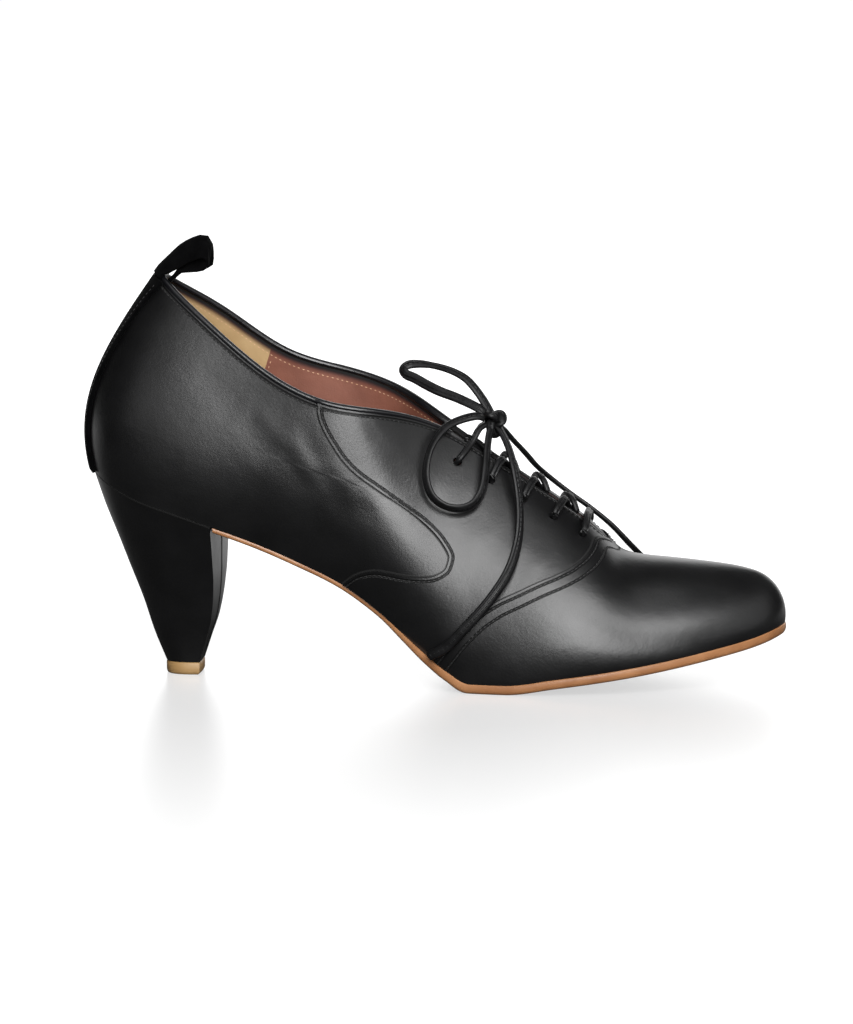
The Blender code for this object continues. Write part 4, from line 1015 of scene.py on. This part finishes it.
def tab_thread(share):
    """One line along the tab, at a share of its half width from the middle."""
    start_rib = across_back(1.0, share * TAB_HALF_WIDTH)
    end_rib = across_back(TAB_SEWN_HEIGHT, share * TAB_SEWN_HALF_WIDTH)
    collar = last_point(start_rib, 1.0)
    lean = collar - last_point(start_rib, POLE)
    lean /= np.linalg.norm(lean)
    start = skin(start_rib, 1.0, BINDING_WIDTH / 2 - UPPER_WALL / 2 + CLEARANCE + TAB_THICKNESS / 2)
    end = skin(end_rib, TAB_SEWN_HEIGHT, -(UPPER_WALL + CLEARANCE + TAB_THICKNESS / 2))
    middle = last_point(0.0, 1.0)
    free = []
    for point in TAB_ROUTE:
        side = -share * TAB_HALF_WIDTH * point.breadth
        fall = TAB_DROOP * share * share * point.droop
        free.append(middle + np.array([TAB_REACH * point.forward, side, TAB_REACH * point.up - fall]))
    over = start + lean * BINDING_HEIGHT
    return smooth_route([start + lean * CLEARANCE, over, *free, end], 22)


def suede(name):
    """Napped leather: no gloss, a short uneven pile that catches light at its edges."""
    material, tree, shader = new_material(name, 0.95)
    place = tree.nodes.new("ShaderNodeTexCoord").outputs["Object"]
    tone = toned(tree, noise(tree, place, 240.0, 8.0), (0.0006, 0.0006, 0.0007), (0.0020, 0.0020, 0.0022))
    linked(tree, tone, shader.inputs["Base Color"])
    shader.inputs["Specular IOR Level"].default_value = 0.03
    shader.inputs["Sheen Weight"].default_value = 0.015
    shader.inputs["Sheen Roughness"].default_value = 0.5
    first = bumped(tree, shader, noise(tree, place, 350.0, 6.0), 0.00012)
    bumped(tree, shader, noise(tree, place, 2600.0, 4.0), 0.00010, first)
    return material


SUEDE = suede("black_suede")
strip_rows = np.linspace(0.0, 1.0, 91)
outside = []
inside = []
for height in strip_rows:
    half_width = STRIP_HALF_WIDTH + (STRIP_TOP_HALF_WIDTH - STRIP_HALF_WIDTH) * height
    places = across_back(height, np.linspace(-1, 1, 25) * half_width)
    level = np.full(len(places), height)
    outside.append(skin(places, level, np.full(len(places), CLEARANCE + STRIP_THICKNESS)))
    inside.append(skin(places, level, np.full(len(places), FLOOR_GAP)))
outside, inside = np.array(outside), np.array(inside)
bm = shell_from_grids(outside, inside)
folded(to_piece(bm, "suede_back_strip", SUEDE, ["back_strip"]), 0.0005)

threads = np.array([tab_thread(share) for share in np.linspace(-1, 1, 21)])
along = np.gradient(threads, axis=1)
across = np.gradient(threads, axis=0)
face = unit(np.cross(along, across))
bm = shell_from_grids(threads + face * TAB_THICKNESS / 2, threads - face * TAB_THICKNESS / 2)
folded(to_piece(bm, "suede_pull_tab", SUEDE, ["pull_tab"]), 0.0005)


# The tongue: one thin sheet of black calf under both facings and across the throat. Its
# top edge lies just above the highest pair of eyelets.
TONGUE_THICKNESS = 0.0016
TONGUE_REACH = 0.30      # share of a rib that it covers, down from the facing
TONGUE_GAP = 0.0008      # under the facings
TONGUE_START = 6.05      # rib at the tongue's top edge
TONGUE_END = 9.0
TONGUE_BRIDGE = 0.25     # share of its breadth that spans the throat


def tongue_bmesh():
    outside = []
    inside = []
    for rib in np.linspace(TONGUE_START, TONGUE_END, 61):
        top_depth = float(wall_inside(rib)) + TONGUE_GAP
        for depth, grid in ((top_depth, outside), (top_depth + TONGUE_THICKNESS, inside)):
            edges = {side: skin(mirrored(rib, side), 1.0, -depth) for side in (OUTER, INNER)}
            row = []
            for share in np.linspace(-1, 1, 41):
                side = OUTER if share < 0 else INNER
                height = 1 - TONGUE_REACH * (abs(share) - TONGUE_BRIDGE) / (1 - TONGUE_BRIDGE)
                if abs(share) < TONGUE_BRIDGE:
                    mix = (share / TONGUE_BRIDGE + 1) / 2
                    row.append(edges[OUTER] * (1 - mix) + edges[INNER] * mix)
                else:
                    row.append(skin(mirrored(rib, side), height, -depth))
            grid.append(row)
    return shell_from_grids(np.array(outside), np.array(inside))


folded(to_piece(tongue_bmesh(), "calf_tongue", CALF, ["tongue"]), 0.0004)


# The sock: beige kid glued over the insole board from seat to toe, left bare. Its rings
# of points follow the feather line inside the upper's wall.
def edge_ring(start_rib, out, heights):
    """The feather line from a rib round the toe and back, moved out, at given heights."""
    ribs = np.linspace(start_rib, TOE_RIB, 181)
    sides = []
    for side in (OUTER, INNER):
        turned = mirrored(ribs, side)
        foot = last_point(turned, 0.0)
        ahead = last_point(turned + STEP, 0.0) - last_point(turned - STEP, 0.0)
        across = unit(np.stack([ahead[:, 1], -ahead[:, 0]], axis=1))
        plan = foot[:, :2] + out(foot[:, 0])[:, None] * across
        sides.append(plan)
    ring = np.concatenate([sides[0], sides[1][-2::-1]])
    return np.column_stack([ring, heights(ring[:, 0])])


def rings_bmesh(rings, mirrored_points):
    """Bridges rings from top to bottom, and closes both ends with strips across."""
    bm = bmesh.new()
    loops = []
    for ring in rings:
        verts = [bm.verts.new(point) for point in ring]
        edges = [bm.edges.new((verts[i - 1], verts[i])) for i in range(len(verts))]
        loops.append((verts, edges))
    for upper, lower in zip(loops, loops[1:]):
        bmesh.ops.bridge_loops(bm, edges=upper[1] + lower[1])
    for verts in (loops[0][0], loops[-1][0]):
        for i in range(mirrored_points // 2):
            j = mirrored_points - 1 - i
            bm.faces.new(list(dict.fromkeys([verts[i], verts[i + 1], verts[j - 1], verts[j]])))
        rest = [verts[0], *verts[mirrored_points - 1:]]
        if len(rest) > 2:
            bm.faces.new(rest)
    return bm


def inside_wall(x):
    places = [place_along(section.foot) for section in SECTIONS]
    return np.interp(x, places, [section.wall * UPPER_WALL for section in SECTIONS])


SOCK_PROFILE = [(0.0006, 1.0), (0.0001, 0.75), (0.0, 0.4), (0.0, 0.0)]  # inset, share of height
rings = [
    edge_ring(
        0.02,
        lambda x, inset=inset: -(inside_wall(x) + CLEARANCE + inset),
        lambda x, share=share: feather_height(x) + CLEARANCE + INSOLE_THICKNESS * share,
    )
    for inset, share in SOCK_PROFILE
]
to_piece(rings_bmesh(rings, len(rings[0])), "sock", BEIGE_KID, ["insole"])


# The outsole: natural tan leather, cut to the feather line, its edge rounded and waxed,
# skived thin under the waist and ending at the heel's breast.
WAIST_THICKNESS = 0.0018
SOLE_EDGE = 0.0005       # sole standing proud of the vamp
BREAST_ALONG = 0.185     # heel breast, as a share of LENGTH
BREAST_CROWN = 0.0006
SOLE_WAIST_ALONG = 0.42  # where the thin waist starts to thicken
VAMP_EDGE_ALONG = 0.50   # where the vamp first reaches the sole


def breast_place():
    return place_along(BREAST_ALONG)


def sole_move(x):
    start = place_along(SOLE_WAIST_ALONG)
    return (2 * LAP + SOLE_EDGE) * ease(x, start, place_along(VAMP_EDGE_ALONG))


def sole_bottom(x):
    start = place_along(SOLE_WAIST_ALONG)
    thick = WAIST_THICKNESS + (SOLE_THICKNESS - WAIST_THICKNESS) * ease(x, start, place_along(TREAD_START))
    step = STEP * LENGTH
    slope = (feather_height(x + step) - feather_height(x - step)) / (2 * step)
    return np.maximum(feather_height(x) - thick * np.sqrt(1 + slope * slope), 0.0)


TAN_SOLE = hide(
    "tan_sole", (0.27, 0.115, 0.045), (0.37, 0.175, 0.075), 0.38, grain=0.0009, depth=0.00002, coat=0.15
)
SOLE_PROFILE = [         # inset, share of thickness
    (0.0004, 0.0), (0.0001, 0.08), (0.0, 0.3), (0.0, 0.6), (0.0002, 0.8), (0.0006, 0.94), (0.0012, 1.0),
]
side_ribs = np.linspace(1, 6, 501)
sole_start = breast_place() + CLEARANCE + BREAST_CROWN
breast_rib = float(np.interp(sole_start, last_point(side_ribs, 0.0)[:, 0], side_ribs))
rings = [
    edge_ring(
        breast_rib,
        lambda x, inset=inset: sole_move(x) - inset,
        lambda x, share=share: feather_height(x) + share * (sole_bottom(x) - feather_height(x)),
    )
    for inset, share in SOLE_PROFILE
]
to_piece(rings_bmesh(rings, len(rings[0])), "leather_outsole", TAN_SOLE, ["outsole"])


# The heel: a tapered block covered in black calf, pulled round from a seam down its
# breast, under the seat.
LIFT_HEIGHT = 0.0044
LIFT_LENGTH = 0.0127
LIFT_WIDTH = 0.0140
Level = namedtuple("Level", "drop back breast width")
HEEL_LEVELS = [
    Level(0.00, 1.000, 1.000, 1.000),
    Level(0.17, 0.880, 1.000, 0.850),
    Level(0.34, 0.736, 1.000, 0.715),
    Level(0.50, 0.604, 0.965, 0.590),
    Level(0.68, 0.453, 0.865, 0.460),
    Level(0.85, 0.333, 0.665, 0.350),
]
SEAT_POINTS = 121
BREAST_POINTS = 31
HEEL_RINGS = 34
BREAST_SEAM_SHIFT = np.array([0.00002, 0.0, -0.0003])
BREAST_SEAM_HALF_WIDTH = 0.00035
BREAST_SEAM_HALF_THICKNESS = 0.00022


def seat_ring():
    """The seat's outline from the breast's outer corner round the back."""
    rib = np.interp(BREAST_ALONG, [section.foot for section in SECTIONS], range(len(SECTIONS)))
    plan = last_point(np.linspace(rib, -rib, SEAT_POINTS), 0.0)[:, :2]
    plan[0, 0] = breast_place()
    plan[-1, 0] = breast_place()
    shares = np.linspace(0, 1, BREAST_POINTS)[1:-1]
    breast_y = plan[-1, 1] + shares * (plan[0, 1] - plan[-1, 1])
    crown = BREAST_CROWN * np.sin(math.pi * shares)
    return np.concatenate([plan, np.stack([breast_place() + crown, breast_y], axis=1)])


def squeezed(ring, back, breast, half_width):
    """The ring scaled to a level's own back, breast and half width."""
    low, high = ring[:, 0].min(), breast_place()
    shares = (ring[:, 0] - low) / (high - low)
    x = back + shares * (breast - back)
    y = ring[:, 1] * half_width / np.abs(ring[:, 1]).max()
    return np.stack([x, y], axis=1)


seat = seat_ring()
half_width = np.abs(seat[:, 1]).max()
seat_z = feather_height(seat[:, 0])
foot = LIFT_HEIGHT + CLEARANCE / 2
drops = [level.drop for level in HEEL_LEVELS] + [1.0]
backs = [HEEL_PITCH * level.back for level in HEEL_LEVELS] + [LIFT_LENGTH / 2]
breasts = [breast_place() * level.breast for level in HEEL_LEVELS] + [LIFT_LENGTH / 2]
widths = [half_width * level.width for level in HEEL_LEVELS] + [LIFT_WIDTH / 2]
rings = []
for drop in np.linspace(0, 1, HEEL_RINGS):
    plan = squeezed(
        seat, -float(monotone(drops, backs, drop)), float(monotone(drops, breasts, drop)),
        float(monotone(drops, widths, drop)),
    )
    rings.append(np.column_stack([plan, seat_z + (foot - seat_z) * drop]))
bm = rings_bmesh(rings, SEAT_POINTS)
heel_cover = to_piece(bm, "covered_heel", CALF, ["heel"], sharp=60)
folded(heel_cover, 0.0004)
# Painted shade round the heel's top, where the upper meets it.
brim = np.concatenate([rings[0], (rings[0] + np.roll(rings[0], 1, axis=0)) / 2])
mark(heel_cover, "painted_shade_line", [brim])

middle = SEAT_POINTS + (BREAST_POINTS - 2) // 2
breast_line = strap_line([ring[middle] + BREAST_SEAM_SHIFT for ring in rings[:-1:3]])
forward = [(0, (1, 0, 0)), (1, (1, 0, 0))]
bm = strap_bmesh(breast_line, forward, BREAST_SEAM_HALF_WIDTH, BREAST_SEAM_HALF_THICKNESS)
to_piece(bm, "breast_seam", CALF)

TAN_LIFT = hide("tan_lift", (0.29, 0.165, 0.060), (0.36, 0.22, 0.090), 0.45, grain=0.0012, depth=0.00002)
LIFT_PROFILE = [(0.0003, 1.0), (0.0, 0.92), (0.0, 0.25), (0.00025, 0.06), (0.0006, 0.0)]
rings = []
for inset, share in LIFT_PROFILE:
    plan = squeezed(seat, -LIFT_LENGTH / 2 + inset, LIFT_LENGTH / 2 - inset, LIFT_WIDTH / 2 - inset)
    rings.append(np.column_stack([plan, np.full(len(plan), LIFT_HEIGHT * share)]))
to_piece(rings_bmesh(rings, SEAT_POINTS), "wearing_lift", TAN_LIFT, ["top_lift"], sharp=60)


# The lacing: the same leather lace, down through one pair of eyelets and across to the
# next, an arch over the throat's base, and two strands that rise to the bow.
CROSSING_DIAMETER = 0.0028
CROSSING_HALF_THICKNESS = CROSSING_DIAMETER * 0.36
THROAT_MIDDLE = 7.5      # rib
HOLE_DEPTH = 0.0012      # from the leather down to a strand's end in its eyelet
LOWEST_LIFT = 0.0009     # of each strand from their crossing, at the lowest pairs
CROSSING_LIFT = 0.0012   # the same at the others


def slit_point(rib, across, rise):
    """A place in the throat: across from -1 at the outer facing to 1 at the inner."""
    edges = [skin(mirrored(rib, side), 1.0, 0.0) for side in (OUTER, INNER)]
    up = last_normal(rib, 1.0) + last_normal(mirrored(rib, INNER), 1.0)
    up /= np.linalg.norm(up)
    return (edges[0] * (1 - across) + edges[1] * (1 + across)) / 2 + rise * up


def over_facing():
    """How far a strand's middle lies out from the quarter when it lies on a facing."""
    return LAP + 1.5 * CLEARANCE + CROSSING_DIAMETER / 2


def at_hole(eyelet, side):
    return skin(mirrored(eyelet.rib, side), eyelet.height, over_facing())


def over_edge(rib, side, spare=0.0):
    return skin(mirrored(rib, side), 1.0, over_facing() + spare)


def between(eyelets, share):
    return eyelets[0].rib + (eyelets[1].rib - eyelets[0].rib) * share


def on_tongue(rib):
    """Rise above the throat's edges of a strand's middle when it lies on the tongue."""
    normals = last_normal(rib, 1.0) + last_normal(mirrored(rib, INNER), 1.0)
    depth = (float(wall_inside(rib)) + TONGUE_GAP) * np.linalg.norm(normals) / 2
    return CROSSING_DIAMETER / 2 + 2 * CLEARANCE - depth


def low_in_slit(rib, side):
    """The last place of a strand that dives under a facing, clear of its edge."""
    inner_edge = skin(rib, 1.0, -wall_inside(rib)) - skin(mirrored(rib, INNER), 1.0, -wall_inside(rib))
    whole_edge = last_point(rib, 1.0) - last_point(mirrored(rib, INNER), 1.0)
    room = np.linalg.norm(inner_edge) / 2 - CROSSING_DIAMETER / 2 - 2 * CLEARANCE
    return slit_point(rib, side * room / (np.linalg.norm(whole_edge) / 2), on_tongue(rib))


def strand_bmesh(route, face=None):
    line = strap_line(route)
    middle = face
    if face is None:
        middle = last_normal(THROAT_MIDDLE, 1.0) + last_normal(mirrored(THROAT_MIDDLE, INNER), 1.0)
    return strap_bmesh(line, [(0, middle), (1, middle)], CROSSING_DIAMETER / 2, CROSSING_HALF_THICKNESS)


def add_mesh(bm, other):
    """Adds one bmesh's faces to another."""
    mesh = meshed(other, "strand")
    bm.from_mesh(mesh)
    bpy.data.meshes.remove(mesh)
    return bm


def in_hole(eyelet, side):
    return skin(mirrored(eyelet.rib, side), eyelet.height, -HOLE_DEPTH)


for number in range(1, len(EYELETS)):
    pair = EYELETS[number - 1:number + 1]
    bm = None
    for side in (OUTER, INNER):
        if number == 1:
            crossing = between(pair, 0.5)
            route = [
                low_in_slit(between(pair, 0.1), side),
                slit_point(crossing, 0.0, on_tongue(crossing) + side * LOWEST_LIFT),
                low_in_slit(between(pair, 0.9), -side),
            ]
        else:
            crossing = between(pair, 0.45)
            route = [
                in_hole(pair[0], side),
                at_hole(pair[0], side),
                over_edge(between(pair, 0.2), side, CLEARANCE),
                slit_point(crossing, 0.0, on_tongue(crossing) + (1 + side) * CROSSING_LIFT),
                low_in_slit(between(pair, 0.75), -side),
            ]
        strand = strand_bmesh(route)
        bm = strand if bm is None else add_mesh(bm, strand)
    to_piece(bm, f"crossing_{number}", LACE_FINISH, [f"lace_cross_{number}"])

eyelet = EYELETS[-1]
route = [
    in_hole(eyelet, OUTER),
    at_hole(eyelet, OUTER),
    over_edge(eyelet.rib, OUTER, CLEARANCE),
    slit_point(eyelet.rib, 0.0, over_facing()),
    over_edge(eyelet.rib, INNER, CLEARANCE),
    at_hole(eyelet, INNER),
    in_hole(eyelet, INNER),
]
to_piece(strand_bmesh(route), "lowest_bar", LACE_FINISH, ["lace_bar"])

RISE_EDGE = 0.30         # of the way to the second eyelet, where it leaves the facing
BOW_SEAT = np.array([-0.0030, 0.0, -0.0008])     # strands' top from the knot's middle
eyelet = EYELETS[0]
apex = np.array(KNOT_CENTRE) + BOW_SEAT
edge = between(EYELETS, RISE_EDGE)
bow = np.array([0.0, 0.0, CROSSING_DIAMETER])
near, far = over_edge(edge, OUTER, CLEARANCE), over_edge(edge, INNER, CLEARANCE)
route = [
    in_hole(eyelet, OUTER),
    at_hole(eyelet, OUTER),
    near,
    (near + apex) / 2 + bow / 2,
    apex,
    (far + apex) / 2 + bow / 2,
    far,
    at_hole(eyelet, INNER),
    in_hole(eyelet, INNER),
]
to_piece(strand_bmesh(route, (-0.4, -0.3, 0.85)), "rising_strands", LACE_FINISH, ["lace_rise"])


# The stitch rows: waxed thread, in black on the leather and beige on the linings, each
# stitch lying half sunk beside the edge that it holds.
THREAD_RADIUS = 0.00020
STITCH_LENGTH = 0.0012
THREAD_RISE = 0.00010    # of the thread's middle over the leather
TOP_HEIGHT = 0.999       # height on the rib from which rows along the top are set in
FACING_END = 9.05        # rib at which the facing's row ends
BINDING_ROW = 0.0016     # from the collar's edge to the row under the binding
LINING_ROW = 0.0030      # the same inside
STRIP_ROW = 0.84         # of the back strip's half width, to its rows
NAP_DEPTH = 0.00008      # by which its rows sink into the suede
BLACK_THREAD = hide("black_thread", (0.012, 0.012, 0.012), (0.024, 0.024, 0.025), 0.55)
BEIGE_THREAD = hide("beige_thread", (0.52, 0.30, 0.16), (0.66, 0.42, 0.26), 0.6)


def inset_line(ribs, heights, distance):
    """A line on the last moved to its left by a true distance, by local slopes."""
    at = last_point(ribs, heights)
    by_rib = (last_point(ribs + STEP, heights) - last_point(ribs - STEP, heights)) / (2 * STEP)
    low = np.clip(heights - STEP, 0, 1)
    high = np.clip(heights + STEP, 0, 1)
    by_height = (last_point(ribs, high) - last_point(ribs, low)) / (high - low)[:, None]
    ahead = unit(np.gradient(at, axis=0))
    aside = unit(np.cross(last_normal(ribs, heights), ahead)) * distance
    moved = [
        np.linalg.lstsq(np.stack([u, v], axis=1), step, rcond=None)[0]
        for u, v, step in zip(by_rib, by_height, aside)
    ]
    moved = np.array(moved)
    return ribs + moved[:, 0], np.clip(heights + moved[:, 1], 0, 1)


def add_stitches(bm, ribs, heights, out, pitch=STITCH_PITCH):
    base = last_point(ribs, heights)
    path = skin(ribs, heights, out + THREAD_RISE + relief(base))
    normals = last_normal(ribs, heights)
    lengths = run_lengths(path)
    ahead = unit(np.gradient(path, axis=0))
    for place in np.arange(pitch / 2, lengths[-1], pitch):
        spot, along, up = (Vector(read_at(place, lengths, line)) for line in (path, ahead, normals))
        along.normalize()
        across = up.cross(along).normalized()
        up = along.cross(across)
        turn = Matrix((along, across, up)).transposed().to_4x4()
        size = Matrix.Diagonal((STITCH_LENGTH / 2, THREAD_RADIUS, THREAD_RADIUS, 1))
        bmesh.ops.create_icosphere(
            bm, subdivisions=1, radius=1, matrix=Matrix.Translation(spot) @ turn @ size
        )
    return bm


STITCHED = [
    (quarter_seam, LAP, EDGE_ROW), (vamp_seam, 2 * LAP, EDGE_ROW), (vamp_seam, 2 * LAP, SECOND_ROW),
]
fine = np.linspace(0.005, 0.985, 400)
black_rows = bmesh.new()
for side in (OUTER, INNER):
    for seam, level, inset in STITCHED:
        ribs, heights = inset_line(seam(fine), fine, -inset)
        add_stitches(black_rows, mirrored(ribs, side), heights, np.full(len(ribs), level))
    facing = np.linspace(BINDING_END - 0.1, FACING_END, 300)
    ribs, heights = inset_line(facing, np.full(len(facing), TOP_HEIGHT), -EDGE_ROW)
    add_stitches(black_rows, mirrored(ribs, side), heights, np.full(len(ribs), LAP))
    collar = np.linspace(0.35, BINDING_END - 0.15, 300)
    ribs, heights = inset_line(collar, np.full(len(collar), TOP_HEIGHT), -BINDING_ROW)
    level = LAP * (ribs > quarter_seam(heights))
    add_stitches(black_rows, mirrored(ribs, side), heights, level)
to_piece(black_rows, "black_stitches", BLACK_THREAD)

lining_rows = bmesh.new()
for side in (OUTER, INNER):
    collar = np.linspace(0.0, 6.0, 300)
    ribs, heights = inset_line(collar, np.full(len(collar), TOP_HEIGHT), -LINING_ROW)
    add_stitches(lining_rows, mirrored(ribs, side), heights, -wall_inside(mirrored(ribs, side)))
    upright = np.linspace(0.3, 0.93, 120)
    ribs = np.full(len(upright), LINING_SEAM + 0.05)
    add_stitches(lining_rows, mirrored(ribs, side), upright, -wall_inside(ribs))
to_piece(lining_rows, "lining_stitches", BEIGE_THREAD)

strip_rows_bm = bmesh.new()
for share in (-STRIP_ROW, STRIP_ROW):
    heights = np.linspace(0.02, 0.97, 200)
    half_widths = STRIP_HALF_WIDTH + (STRIP_TOP_HALF_WIDTH - STRIP_HALF_WIDTH) * heights
    ribs = np.array([float(across_back(h, share * w)) for h, w in zip(heights, half_widths)])
    level = CLEARANCE + STRIP_THICKNESS - NAP_DEPTH
    add_stitches(strip_rows_bm, ribs, heights, np.full(len(ribs), level))
to_piece(strip_rows_bm, "strip_stitches", BLACK_THREAD)
bpy.data.objects.remove(punches, do_unlink=True)


# The stage: a white sweep before a bright wall. One tall soft box stands before the shoe
# with a wide one over it; weaker ones fill the heel's side, the toe's side, top and back.
def soft_box(name, turn, rise, distance, size, power):
    """A soft box aimed at the shoe. turn is 0 before the shoe's outer side, 90 at its toe."""
    data = bpy.data.lights.new(name, "AREA")
    data.shape = "RECTANGLE"
    data.size, data.size_y = size
    data.energy = power
    turn, rise = math.radians(turn), math.radians(rise)
    away = Vector((math.sin(turn) * math.cos(rise), -math.cos(turn) * math.cos(rise), math.sin(rise)))
    lamp = placed(name, data)
    lamp.location = TARGET + distance * away
    lamp.rotation_euler = away.to_track_quat("Z", "Y").to_euler()
    lamp.visible_camera = False


soft_box("tall_box", 14, 18, 1.9, (0.90, 1.00), 31)
soft_box("wide_box", 17, 42, 1.9, (1.70, 0.55), 28)
soft_box("heel_fill", -27, 21, 1.9, (1.40, 0.90), 2.5)
soft_box("toe_fill", 70, 25, 1.5, (1.2, 1.0), 3)
soft_box("top_box", 0, 78, 1.5, (1.1, 0.6), 3)
soft_box("rear_wall", 176, 18, 2.0, (2.4, 1.3), 15)

floor_bm = bmesh.new()
bmesh.ops.create_grid(floor_bm, x_segments=1, y_segments=1, size=12)
floor = placed("floor", meshed(floor_bm, "floor"))
floor_material, tree, shader = new_material("white_sweep", 0.30)
shader.inputs["Base Color"].default_value = (0.20, 0.20, 0.20, 1)
shader.inputs["Specular IOR Level"].default_value = 0.35
shader.inputs["Emission Color"].default_value = (1, 1, 1, 1)
place = tree.nodes.new("ShaderNodeTexCoord").outputs["Object"]
from_shoe = tree.nodes.new("ShaderNodeVectorMath")
from_shoe.operation = "DISTANCE"
linked(tree, place, from_shoe.inputs[0])
from_shoe.inputs[1].default_value = (TARGET.x, TARGET.y, 0.0)
# The floor's glow is weaker near the shoe: a painted shade round it, besides the lamps' real shadows.
glow = spread(tree, from_shoe.outputs["Value"], 0.60, 1.0, 0.10, 0.48)
linked(tree, glow, shader.inputs["Emission Strength"])
# Other rays than the camera's see a darker copy of the floor that glows brighter toward the back: a glow,
# though no lamp, that lights the shoe and shows in its reflections.
dim = tree.nodes.new("ShaderNodeBsdfDiffuse")
dim.inputs["Color"].default_value = (0.07, 0.07, 0.07, 1)
split = tree.nodes.new("ShaderNodeSeparateXYZ")
linked(tree, place, split.inputs["Vector"])
behind = tree.nodes.new("ShaderNodeEmission")
linked(tree, spread(tree, split.outputs["Y"], 0.0, 0.80, 0.05, 0.40), behind.inputs["Strength"])
mirrored_floor = tree.nodes.new("ShaderNodeAddShader")
linked(tree, dim.outputs["BSDF"], mirrored_floor.inputs[0])
linked(tree, behind.outputs["Emission"], mirrored_floor.inputs[1])
seen = tree.nodes.new("ShaderNodeLightPath")
mix = tree.nodes.new("ShaderNodeMixShader")
linked(tree, seen.outputs["Is Camera Ray"], mix.inputs["Fac"])
linked(tree, mirrored_floor.outputs["Shader"], mix.inputs[1])
linked(tree, shader.outputs["BSDF"], mix.inputs[2])
linked(tree, mix.outputs["Shader"], tree.nodes["Material Output"].inputs["Surface"])
floor.data.materials.append(floor_material)

world = bpy.data.worlds.new("studio")
bpy.context.scene.world = world
world.use_nodes = True
tree = world.node_tree
background = tree.nodes["Background"]
seen = tree.nodes.new("ShaderNodeLightPath")
mixed = spread(tree, seen.outputs["Is Camera Ray"], 0.02, 1.0, 0.0, 1.0)
linked(tree, mixed, background.inputs["Strength"])
background.inputs["Color"].default_value = (1, 1, 1, 1)
bpy.context.scene.view_settings.view_transform = "Standard"
